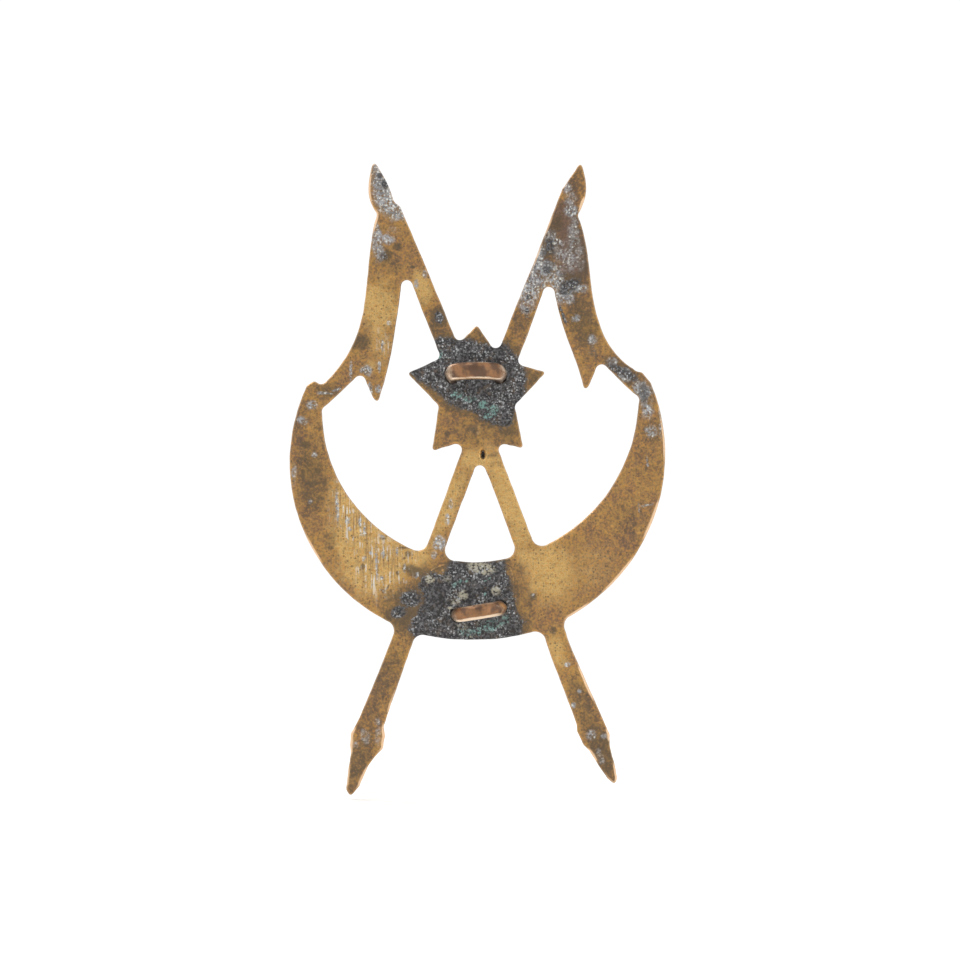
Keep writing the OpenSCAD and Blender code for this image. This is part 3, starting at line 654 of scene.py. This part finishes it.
class BADGE_OT_plate(bpy.types.Operator):
    """Struck brass plate with its raised front and its worn, stained back"""

    bl_idname = "badge.plate"
    bl_label = "Struck plate"

    def execute(self, context):
        sizes = context.scene.badge_sizes
        points, tris, near, rim_edges = fill_outline(*plate_rim(), PLATE_RINGS, sizes.grid)
        x, z = points.T
        values = patina(x, z)
        # The edge value paints the back's rounded rim rose: partly filed, rubbed brass and partly a painted
        # highlight, stronger where the edge is filed wider
        rubbed = smooth_step(0.02, 0.12, filed_width(x, z) + 0.04 * noise(x, z, 1.2, 31))
        values["edge"] = (0.3 + 0.7 * rubbed) * smooth_step(1.0, 0.55, near / edge_radius(x, z, sizes))
        back = back_face(x, z, near, sizes)
        relief = front_relief(x, z, near)
        front = sizes.plate_t + relief - round_over(near, sizes.front_round)
        polished = {
            "bright": 0.75 * smooth_step(0.3, 0.8, relief + 0.12 * rough_noise(x, z, 2.0, 61)),
            "umber": 0.6 * smooth_step(0.3, 0.0, relief + 0.1 * rough_noise(x, z, 1.2, 62)),
            "edge": 0.2 * values["edge"],
        }
        co, faces, values = two_sided(points, tris, rim_edges, back, front, values, polished)
        obj = make_object("struck_plate", co, faces, values)
        obj.data.materials.append(struck_brass(context.scene.badge_colours))
        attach(obj, "root")
        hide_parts(PLATE)
        return {"FINISHED"}


# ---------------------------------------------------------------- loops and solder


def loop_place(name):
    """A loop's place from its eye's mount: the middle of its feet, its eye's radius, its
    lean towards the spears and its turn on the back."""
    mount = next(m for m in frame["record"]["mounts"] if m["name"] == name + "_eye")
    axis, pos = mount["axis"], np.array(mount["pos_m"]) / MM
    lean = math.asin(abs(axis[1]))
    turn = math.atan2(axis[0], -axis[2]) if axis[2] < 0 else 0.0
    leg = -pos[1] / math.cos(lean)
    foot = pos - leg * np.array([0, -math.cos(lean), math.sin(lean)])
    return foot, mount["dims"]["r_mm"], leg, lean, turn


def wire_loop(name, wire_w, wire_t, rubbed, seed):
    """A staple of flattened wire: a squarish oval section carried up one leg, round half a
    circle and down the other. The section is t = T/2 (1 + |cos v|^p), w = W/2 |sin v|^p with
    the signs of cos v and sin v; p is larger outside, where wear rounds it. The wire is
    hammered flatter in a few places along its crown. Rubbed is how far in from its sides
    the pale band reaches, as a share of half its width. That band is partly polish and
    partly a painted highlight, painted brighter on the wire's lower side and at its shoulders."""
    foot, eye_r, leg, lean, turn = loop_place(name)
    root, steps, around = 0.3, 140, 64
    length = 2 * (leg + root) + math.pi * eye_r
    s = np.linspace(0, length, steps)[:, None]
    v = np.linspace(0, 2 * math.pi, around, endpoint=False)[None, :]
    bend = np.clip((s - leg - root) / eye_r, 0, math.pi)
    rise = np.minimum(s, length - s) - root
    rise = np.minimum(rise, leg)
    crown = np.sin(bend)
    power = 0.5 + (0.2 + 0.7 * (1 - crown)) * (1 + np.cos(v)) / 2
    cos_v, sin_v = np.cos(v), np.sin(v)
    thick = np.sign(cos_v) * np.abs(cos_v) ** power
    wide = np.sign(sin_v) * np.abs(sin_v) ** power
    hammered = noise(s * 1.3, wide * 0.9 + 0 * s, 1.1, seed) + 0.5 * noise(s, wide + 0 * s, 0.5, seed + 4)
    t = wire_t / 2 * (1 + thick) - np.clip(thick, 0, 1) * (0.045 * (1 - hammered) * crown)
    slim = 1 - 0.2 * (1 - crown) ** 1.5 * np.clip(thick, 0, 1)
    w = wire_w / 2 * wide * (slim + 0.02 * noise(s, 0 * s, 1.5, seed + 1))
    w = w + 0.02 * noise(s, 0 * s, 2.2, seed + 2)
    x = (eye_r + t) * np.cos(bend)
    d = rise + (eye_r + t) * np.sin(bend) * (bend > 0)
    y = -d * math.cos(lean) - w * math.sin(lean)
    z = d * math.sin(lean) + w * math.cos(lean)
    x, z = x * math.cos(turn) - z * math.sin(turn), x * math.sin(turn) + z * math.cos(turn)
    co = np.stack([x + foot[0], y + foot[1], z + foot[2]], -1).reshape(-1, 3)
    i, k = np.arange(steps - 1)[:, None] * around, np.arange(around)[None, :]
    j = (k + 1) % around
    quads = np.stack(np.broadcast_arrays(i + k, i + around + k, i + around + j, i + j), -1).reshape(-1, 4)
    ends = [list(range(around)), list(range((steps - 1) * around, steps * around))[::-1]]
    outer = smooth_step(0.0, 0.8, thick)
    side = np.abs(wide) + 0.06 * noise(s, 0 * s, 0.6, seed + 3)
    # Painted highlight: the pale rim band is widened and brightened on the lower side of the wire (wide < 0)
    # and dimmed on the upper side, as the light fell
    rim = smooth_step(1 - rubbed, 1.2 - rubbed / 2, side + 0.1 * (wide < 0)) * smooth_step(-0.4, 0.4, thick)
    rim = rim * (0.75 - 0.25 * np.sign(wide))
    # Shoulders: partly rubbed copper and partly a painted highlight where the crown curves down to the legs
    shoulder_rub_and_highlight = smooth_step(0.95, 0.3, crown + 0.15 * noise(s, wide + 0 * s, 0.7, seed + 5)) * outer
    worn = np.clip(np.maximum(rim, 0.65 * shoulder_rub_and_highlight), 0, 1)
    inside = smooth_step(0.2, -0.6, thick) + 0 * s
    values = {"worn": worn, "inside": inside}
    return co, quads.tolist() + ends, {key: (value + 0 * s + 0 * v).ravel() for key, value in values.items()}


class BADGE_OT_loops(bpy.types.Operator):
    """The two loops of flattened copper wire"""

    bl_idname = "badge.loops"
    bl_label = "Copper loops"

    def execute(self, context):
        sizes, colours = context.scene.badge_sizes, context.scene.badge_colours
        for name, width, rubbed, seed in (
                (LOOPS[0], sizes.upper_w, 0.3, 60), (LOOPS[1], sizes.lower_w, 0.5, 70)):
            obj = make_object("worn_" + name, *wire_loop(name, width, sizes.wire_t, rubbed, seed))
            obj.data.materials.append(worn_copper_with_painted_highlights(colours))
            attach(obj, "root")
            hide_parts(name)
        return {"FINISHED"}


def bed_height(x, z, near, name, width, wire_t):
    """Height of a bed: 0.12 mm of flux that thins out to its rim, its lumps and blisters,
    and a fillet up to 0.34 mm higher round the feet of the loop it holds."""
    foot, eye_r, _, _, turn = loop_place(name)
    height = 0.12 * smooth_step(0, 0.9, near)
    height += 0.06 * rough_noise(x, z, 0.3, 80) * smooth_step(0, 0.5, near)
    height += 0.1 * np.clip(noise(x, z, 0.2, 83) - 0.4, 0, 1) * smooth_step(0, 0.4, near)
    px, pz = x - foot[0], z - foot[2]
    px, pz = px * math.cos(turn) + pz * math.sin(turn), -px * math.sin(turn) + pz * math.cos(turn)
    u = np.abs(np.abs(px) - eye_r - wire_t / 2) - wire_t / 2 + 0.1
    v = np.abs(pz) - width / 2 + 0.1
    away = np.hypot(np.clip(u, 0, None), np.clip(v, 0, None)) / 0.6
    away = away + 0.12 * noise(x, z, 0.5, 85)
    return height + 0.34 * np.clip(1 - away, 0, 1) ** 2


class BADGE_OT_beds(bpy.types.Operator):
    """Beds of blackened solder round the loops' feet"""

    bl_idname = "badge.beds"
    bl_label = "Solder beds"

    def execute(self, context):
        sizes, colours = context.scene.badge_sizes, context.scene.badge_colours
        for bed, name, width in zip(BEDS, LOOPS, (sizes.upper_w, sizes.lower_w)):
            rim, after, before = chain([relax(line, 14) for line in flat_outline(bed, 0.1)])
            points, tris, near, rim_edges = fill_outline(rim, after, before, (0.06,), 0.085)
            x, z = points.T
            height = bed_height(x, z, near, name, width, sizes.wire_t)
            back, base = np.minimum(-height, -0.004), np.full_like(x, 0.08)
            co, faces, values = two_sided(points, tris, rim_edges, back, base, patina(x, z), {})
            obj = make_object("black_" + bed, co, faces, values)
            obj.data.materials.append(burnt_flux(colours))
            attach(obj, "root")
            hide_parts(bed)
        return {"FINISHED"}


# ---------------------------------------------------------------- materials


def linear(code):
    """An sRGB hex value as linear red, green, blue and alpha."""
    part = np.array([int(code[k:k + 2], 16) for k in (0, 2, 4)]) / 255
    part = np.where(part <= 0.04045, part / 12.92, ((part + 0.055) / 1.055) ** 2.4)
    return (*part.tolist(), 1.0)


def add_node(tree, kind, inputs=None, **settings):
    """Adds a shader node. Settings are its own properties; inputs are values for its
    sockets, or output sockets to link to them."""
    made = tree.nodes.new("ShaderNode" + kind)
    for key, value in settings.items():
        setattr(made, key, value)
    for key, value in (inputs or {}).items():
        if isinstance(value, bpy.types.NodeSocket):
            tree.links.new(value, made.inputs[key])
        else:
            made.inputs[key].default_value = value
    return made


def grain(tree, place, period, detail=2.0, stretch=None):
    """Noise with the given period in millimetres, stretched along an axis if asked to."""
    if stretch:
        place = add_node(tree, "Mapping", {"Vector": place, "Scale": stretch}).outputs[0]
    inputs = {"Vector": place, "Scale": 1 / (period * MM), "Detail": detail}
    return add_node(tree, "TexNoise", inputs).outputs[0]


def between(tree, value, low, high):
    """A smooth rise from 0 at low to 1 at high."""
    return add_node(tree, "MapRange", {"Value": value, "From Min": low, "From Max": high},
                    interpolation_type="SMOOTHSTEP").outputs[0]


def math_node(tree, operation, a, b):
    """A sum, product or the like of two values or sockets."""
    return add_node(tree, "Math", {0: a, 1: b}, operation=operation).outputs[0]


def mixed(tree, share, under, over):
    """Colour: over on under, by share."""
    return add_node(tree, "Mix", {0: share, 6: under, 7: over}, data_type="RGBA").outputs[2]


def value_of(tree, name):
    """One of the mesh's point values, by name."""
    return add_node(tree, "Attribute", attribute_name=name).outputs["Fac"]


def broken(tree, mask, pattern, reach=0.6, soft=0.2):
    """A mask whose edge follows a pattern: full where mask is 1, none where it is 0."""
    inputs = {0: pattern, 1: reach, 2: -reach / 2}
    spread = add_node(tree, "Math", inputs, operation="MULTIPLY_ADD").outputs[0]
    lifted = between(tree, math_node(tree, "ADD", mask, spread), 0.5 - soft, 0.5 + soft)
    return math_node(tree, "MULTIPLY", lifted, between(tree, mask, 0.0, 0.15))


def new_material(name):
    """A material with an empty tree. Returns it, its tree and the place on the object."""
    material = bpy.data.materials.new(name)
    material.use_nodes = True
    tree = material.node_tree
    tree.nodes.clear()
    place = add_node(tree, "TexCoord").outputs["Object"]
    return material, tree, place


def finish_material(tree, height, bump_mm, **inputs):
    """Joins the shader up, with bump from a height pattern of the given depth."""
    bump = add_node(tree, "Bump", {"Height": height, "Distance": bump_mm * MM, "Strength": 1.0})
    shader = add_node(tree, "BsdfPrincipled", {"Normal": bump.outputs[0], **inputs})
    add_node(tree, "OutputMaterial", {"Surface": shader.outputs[0]})


def crystals(tree, place, pitch, size, share):
    """Round grains on a cellular pattern: one cell in so many holds a grain."""
    cell = add_node(tree, "TexVoronoi", {"Vector": place, "Scale": 1 / (pitch * MM)})
    pick = add_node(tree, "SeparateColor", {"Color": cell.outputs["Color"]})
    chosen = between(tree, pick.outputs[0], 1 - share, 1 - share * 0.8)
    grains = math_node(tree, "MULTIPLY", between(tree, cell.outputs["Distance"], size, size * 0.4), chosen)
    return math_node(tree, "MULTIPLY", grains, between(tree, pick.outputs[1], -0.2, 0.8))


def share_of(tree, value, share):
    """A value times a share."""
    return math_node(tree, "MULTIPLY", value, share)


def flux_colour(tree, place, colours):
    """Burnt flux: black with grey grains, brown where it scorched, pale crystals of spent
    flux in drifts, and copper salts that tint them."""
    grit = grain(tree, place, 0.2, 4.0)
    drift = grain(tree, place, 1.3, 4.0)
    colour = mixed(tree, between(tree, grit, 0.42, 0.64), linear(colours.soot), linear(colours.ash))
    scorch = math_node(tree, "MULTIPLY", between(tree, grain(tree, place, 0.7, 3.0), 0.5, 0.66),
                       between(tree, grain(tree, place, 0.26, 2.0), 0.42, 0.6))
    colour = mixed(tree, share_of(tree, scorch, 0.7), colour, linear(colours.rust))
    crust = grain(tree, place, 0.4, 4.0)
    green = broken(tree, value_of(tree, "green"), crust, 1.3, 0.45)
    pale = broken(tree, value_of(tree, "pale"), crust, 1.0, 0.4)
    baked = math_node(tree, "MULTIPLY", pale, between(tree, grit, 0.36, 0.56))
    colour = mixed(tree, share_of(tree, baked, 0.85), colour, linear(colours.crust))
    lively = add_node(tree, "Math", {0: 1.0, 1: value_of(tree, "dull")}, operation="SUBTRACT").outputs[0]
    lively = math_node(tree, "MULTIPLY", between(tree, drift, 0.34, 0.6), lively)
    spot = math_node(tree, "MAXIMUM", crystals(tree, place, 0.16, 0.6, 0.22),
                     crystals(tree, place, 0.24, 0.5, 0.2))
    fleck = share_of(tree, between(tree, grain(tree, place, 0.17, 1.0), 0.58, 0.7), 0.7)
    spot = math_node(tree, "MULTIPLY", math_node(tree, "MAXIMUM", spot, fleck), lively)
    big = crystals(tree, place, 0.5, 0.32, 0.16)
    spot = math_node(tree, "MAXIMUM", spot, math_node(tree, "MULTIPLY", big, lively))
    salt = mixed(tree, green, linear(colours.crystal), linear(colours.verdigris))
    salty = math_node(tree, "MULTIPLY", green, between(tree, grain(tree, place, 0.22, 3.0), 0.46, 0.62))
    colour = mixed(tree, share_of(tree, salty, 0.7), colour, linear(colours.verdigris))
    colour = mixed(tree, spot, colour, salt)
    return colour, grit


def burnt(tree, place, grit):
    """Where the flux burnt black: its border breaks up into grains."""
    mottle = grain(tree, place, 0.7, 5.0)
    gritty = math_node(tree, "ADD", share_of(tree, mottle, 0.4), share_of(tree, grit, 0.6))
    return broken(tree, value_of(tree, "soot"), gritty, 1.7, 0.3)


def worn_copper_with_painted_highlights(colours):
    """Copper wire, hammered flat and worn: brown toned on its faces, with the edges that
    rub on cloth and pin a pale cream, partly polish and partly a painted highlight."""
    material, tree, place = new_material("Copper wire, hammered and worn")
    cloud = grain(tree, place, 0.9, 4.0)
    fine = grain(tree, place, 0.22, 3.0)
    colour = mixed(tree, between(tree, cloud, 0.4, 0.6), linear(colours.copper), linear(colours.copper_brown))
    colour = mixed(tree, share_of(tree, between(tree, fine, 0.5, 0.64), 0.35), colour, linear(colours.slate))
    # The worn value carries rubbed copper and painted highlights on the rims and shoulders together; both
    # turn the copper cream
    worn = math_node(tree, "ADD", value_of(tree, "worn"), share_of(tree, fine, 0.5))
    worn = between(tree, worn, 0.55, 1.15)
    colour = mixed(tree, worn, colour, linear(colours.cream))
    colour = mixed(tree, value_of(tree, "inside"), colour, linear(colours.copper_brown))
    rough = add_node(tree, "MapRange", {"Value": worn, "To Min": 0.42, "To Max": 0.28}).outputs[0]
    finish_material(tree, fine, 0.02, **{"Base Color": colour, "Metallic": 1.0, "Roughness": rough})
    return material


def brass_tarnish(tree, place, colours, both, mottle, cloud):
    """Brass and its tarnish: clouds of brown and umber, clean yellow where it rubs, and a
    grain of orange and grey flecks over all of it."""
    fine = grain(tree, place, 0.21, 2.0)
    colour = mixed(tree, between(tree, both, 0.36, 0.62), linear(colours.brass), linear(colours.brown))
    plum = broken(tree, value_of(tree, "plum"), mottle, 0.9, 0.5)
    colour = mixed(tree, share_of(tree, plum, 0.85), colour, linear(colours.plum))
    bright = broken(tree, value_of(tree, "bright"), mottle, 1.3, 0.5)
    colour = mixed(tree, bright, colour, linear(colours.bright))
    stain = math_node(tree, "MAXIMUM", value_of(tree, "umber"), value_of(tree, "halo"))
    umber = broken(tree, stain, mottle, 1.0, 0.5)
    colour = mixed(tree, share_of(tree, umber, 0.85), colour, linear(colours.umber))
    hue = grain(tree, place, 0.38, 3.0)
    colour = mixed(tree, share_of(tree, between(tree, hue, 0.46, 0.38), 0.18), colour, linear(colours.slate))
    amber = share_of(tree, between(tree, hue, 0.54, 0.62), 0.4)
    amber = math_node(tree, "MAXIMUM", between(tree, fine, 0.48, 0.38), amber)
    toned = math_node(tree, "MAXIMUM", stain, plum)
    amber = math_node(tree, "MULTIPLY", amber, between(tree, toned, 1.35, 0.0))
    colour = mixed(tree, share_of(tree, amber, 0.65), colour, linear(colours.amber))
    # Fine brushed lines where the brass is kept clean, about 0.15 mm apart
    brush = grain(tree, place, 0.18, 2.0, stretch=(1.0, 1.0, 0.06))
    brush = math_node(tree, "MULTIPLY", between(tree, brush, 0.48, 0.62), value_of(tree, "streak"))
    colour = mixed(tree, share_of(tree, brush, 0.65), colour, linear(colours.brown))
    grey = math_node(tree, "MULTIPLY", between(tree, fine, 0.52, 0.62),
                     add_node(tree, "MapRange", {"Value": bright, "To Min": 0.6, "To Max": 0.3}).outputs[0])
    colour = mixed(tree, share_of(tree, grey, 0.65), colour, linear(colours.slate))
    # Specks of tarnish about 0.15 mm across, thicker where the clouds are brown
    speck = math_node(tree, "MAXIMUM", crystals(tree, place, 0.55, 0.3, 0.4),
                      crystals(tree, place, 0.34, 0.36, 0.25))
    speck = math_node(tree, "MULTIPLY", speck, between(tree, cloud, 0.2, 0.54))
    colour = mixed(tree, share_of(tree, speck, 0.75), colour, linear(colours.slate))
    pepper = crystals(tree, place, 0.2, 0.55, 0.4)
    return mixed(tree, share_of(tree, pepper, 0.7), colour, linear(colours.umber)), fine, speck


def wiped_tin(tree, place, colours, colour, mottle, fine):
    """Solder wiped over the brass, thin and patchy, with painted sparkle and glints, and the scores of
    scraping it off.
    """
    tin = broken(tree, value_of(tree, "tin"), mottle, 1.1, 0.5)
    tin = math_node(tree, "MULTIPLY", tin, between(tree, fine, 0.7, 0.42))
    # Painted sparkle: bright flecks in the solder's grey stand in for glints of light
    painted_sparkle = between(tree, grain(tree, place, 0.2, 2.0), 0.54, 0.62)
    tone = mixed(tree, between(tree, mottle, 0.36, 0.62), linear(colours.tin_dark), linear(colours.tin))
    tone = mixed(tree, painted_sparkle, tone, linear(colours.tin_bright))
    colour = mixed(tree, tin, colour, tone)
    # Painted glints: white dots in and round the solder, thickest where it lies
    painted_glint = math_node(tree, "MULTIPLY", crystals(tree, place, 0.26, 0.5, 0.35),
                      between(tree, value_of(tree, "tin"), 0.15, 0.6))
    colour = mixed(tree, painted_glint, colour, linear(colours.tin_bright))
    # The scores are about 0.1 mm wide and a few millimetres long.
    score = grain(tree, place, 0.19, 2.0, stretch=(1.0, 1.0, 0.08))
    score = math_node(tree, "MULTIPLY", between(tree, score, 0.52, 0.6), value_of(tree, "streak"))
    score = math_node(tree, "MULTIPLY", score, between(tree, grain(tree, place, 0.7, 3.0), 0.44, 0.56))
    return mixed(tree, share_of(tree, score, 0.85), colour, linear(colours.tin_bright))


def stained_metal(name, colours):
    """Brass from its clean patches to its burnt ones: tarnish in clouds and specks, solder
    wiped over it with painted glints, rosy edges that are partly filed brass and partly a
    painted highlight, and black flux with pale crystals."""
    material, tree, place = new_material(name)
    cloud = grain(tree, place, 3.0, 3.0)
    mottle = grain(tree, place, 0.7, 5.0)
    both = math_node(tree, "ADD", share_of(tree, cloud, 0.45), share_of(tree, mottle, 0.55))
    colour, fine, speck = brass_tarnish(tree, place, colours, both, mottle, cloud)
    colour = wiped_tin(tree, place, colours, colour, mottle, fine)
    # Rose edge: partly filed brass and partly a painted highlight along the back's rounded rim
    edge = broken(tree, value_of(tree, "edge"), mottle, 0.6, 0.5)
    colour = mixed(tree, share_of(tree, edge, 0.9), colour, linear(colours.rose))
    flux, grit = flux_colour(tree, place, colours)
    soot = burnt(tree, place, grit)
    colour = mixed(tree, soot, colour, flux)
    bare = math_node(tree, "SUBTRACT", 1.0, soot)
    rough = add_node(tree, "MapRange", {"Value": both, "From Min": 0.4, "From Max": 0.6,
                                        "To Min": 0.38, "To Max": 0.52}).outputs[0]
    rough = add_node(tree, "MapRange", {"Value": soot, "To Min": rough, "To Max": 0.6}).outputs[0]
    height = math_node(tree, "ADD", share_of(tree, fine, 0.7), share_of(tree, mottle, 0.4))
    height = math_node(tree, "SUBTRACT", height, share_of(tree, speck, 0.5))
    height = math_node(tree, "ADD", height, share_of(tree, math_node(tree, "MULTIPLY", grit, soot), 2.0))
    finish_material(tree, height, 0.035, **{"Base Color": colour, "Metallic": bare, "Roughness": rough})
    return material


def struck_brass(colours):
    """Sheet brass, struck and long carried: brown tarnish in clouds and specks, clean yellow
    where it rubs, grey where solder wiped over it, and black with burnt flux round the
    loops. Its edges are bright and rosy: partly filed brass, partly a painted highlight."""
    return stained_metal("Struck brass, tarnished and rubbed", colours)


def burnt_flux(colours):
    """Burnt brazing flux over solder: a baked glassy crust. It looks black and gritty, with
    small pale crystals that catch the light and green where it met the copper. Where it
    ran thin it is only a stain, as brown as the brass beside it."""
    return stained_metal("Burnt brazing flux, baked and gritty", colours)


def studio_floor(colours):
    """Matt white card, which gives a soft even ground with no gloss."""
    material, tree, place = new_material("White card, matt")
    tooth = grain(tree, place, 2.0, 3.0)
    finish_material(tree, tooth, 0.01, **{"Base Color": linear(colours.card), "Roughness": 0.95})
    return material


# ---------------------------------------------------------------- stage


# Millimetres, and watts. A lamp is its name, place, size and power.
FLOOR_R, FLOOR_GAP, FLOOR_SIDES = 260, 0.4, 96
LAMPS = (
    ("Key", (-160, -240, 260), 120, 0.25),
    ("Fill", (220, -260, 60), 160, 0.1),
    ("Front key", (-180, 260, 240), 140, 0.4),
)
CAMERA_AT = (0.25, -600, 1.01)
VIEW_WIDTH = 80.64
SENSOR = 36.0


def add_floor(colours):
    """A round card a little below the lowest butt."""
    turn = np.linspace(0, 2 * math.pi, FLOOR_SIDES, endpoint=False)
    low = CAD_BOX[0][2] / MM - FLOOR_GAP
    disc = np.c_[FLOOR_R * np.cos(turn), FLOOR_R * np.sin(turn), np.full(FLOOR_SIDES, low)]
    floor = make_object("floor", disc, [list(range(FLOOR_SIDES))], smooth=False)
    floor.data.materials.append(studio_floor(colours))


def light_tent():
    """The surroundings. Seen past the badge they are white. As light they are bright all
    round it and dimmer on the two sides that its faces look at."""
    world = bpy.data.worlds.new("Light tent")
    world.use_nodes = True
    tree = world.node_tree
    tree.nodes.clear()
    away = add_node(tree, "TexCoord").outputs["Generated"]
    across = add_node(tree, "SeparateXYZ", {"Vector": away}).outputs["Y"]
    facing = add_node(tree, "Math", {0: across}, operation="ABSOLUTE").outputs[0]
    glow = add_node(tree, "MapRange", {"Value": facing, "From Min": 0.35, "From Max": 1.0,
                                       "To Min": 1.3, "To Max": 0.6}).outputs[0]
    seen = add_node(tree, "LightPath").outputs["Is Camera Ray"]
    strength = add_node(tree, "MapRange", {"Value": seen, "To Min": glow, "To Max": 1.05}).outputs[0]
    back = add_node(tree, "Background", {"Color": (1, 1, 1, 1), "Strength": strength})
    add_node(tree, "OutputWorld", {"Surface": back.outputs[0]})
    return world


def add_lamp(scene, name, place, size, watts):
    """A square soft lamp that faces the badge."""
    lamp = bpy.data.lights.new(name, "AREA")
    lamp.size, lamp.energy = size * MM, watts
    obj = bpy.data.objects.new(name, lamp)
    obj.location = [v * MM for v in place]
    aim = -obj.location.normalized()
    obj.rotation_euler = aim.to_track_quat("-Z", "Y").to_euler()
    scene.collection.objects.link(obj)


def add_camera(scene):
    """The camera, level and square to the badge's back. Its lens shows the view's width at
    the back."""
    lens = bpy.data.cameras.new("Camera")
    lens.sensor_width, lens.lens = SENSOR, SENSOR * -CAMERA_AT[1] / VIEW_WIDTH
    lens.clip_start, lens.clip_end = 0.01, 10
    camera = bpy.data.objects.new("Camera", lens)
    camera.location = [v * MM for v in CAMERA_AT]
    camera.rotation_euler = (math.pi / 2, 0, 0)
    scene.collection.objects.link(camera)
    scene.camera = camera


class BADGE_OT_stage(bpy.types.Operator):
    """Pale floor, soft light from all round and the camera, square to the badge's back"""

    bl_idname = "badge.stage"
    bl_label = "Stage"

    def execute(self, context):
        scene = context.scene
        add_floor(scene.badge_colours)
        scene.world = light_tent()
        for lamp in LAMPS:
            add_lamp(scene, *lamp)
        add_camera(scene)
        scene.view_settings.view_transform = "Standard"
        return {"FINISHED"}


class BADGE_PT_panel(bpy.types.Panel):
    """The badge's pieces and their sizes and colours"""

    bl_label = "Badge"
    bl_idname = "BADGE_PT_panel"
    bl_space_type = "VIEW_3D"
    bl_region_type = "UI"
    bl_category = "Badge"

    def draw(self, context):
        for group in (context.scene.badge_sizes, context.scene.badge_colours):
            box = self.layout.box()
            for key in group.__annotations__:
                box.prop(group, key)
        for step in STEPS:
            self.layout.operator(step.bl_idname)


STEPS = (BADGE_OT_plate, BADGE_OT_loops, BADGE_OT_beds, BADGE_OT_stage)
CLASSES = (BadgeSizes, BadgeColours, *STEPS, BADGE_PT_panel)


def register():
    for cls in CLASSES:
        bpy.utils.register_class(cls)
    bpy.types.Scene.badge_sizes = bpy.props.PointerProperty(type=BadgeSizes)
    bpy.types.Scene.badge_colours = bpy.props.PointerProperty(type=BadgeColours)


def unregister():
    del bpy.types.Scene.badge_sizes, bpy.types.Scene.badge_colours
    for cls in reversed(CLASSES):
        bpy.utils.unregister_class(cls)


def main():
    register()
    for step in STEPS:
        group, name = step.bl_idname.split(".")
        getattr(getattr(bpy.ops, group), name)()


if __name__ == "__main__":
    main()
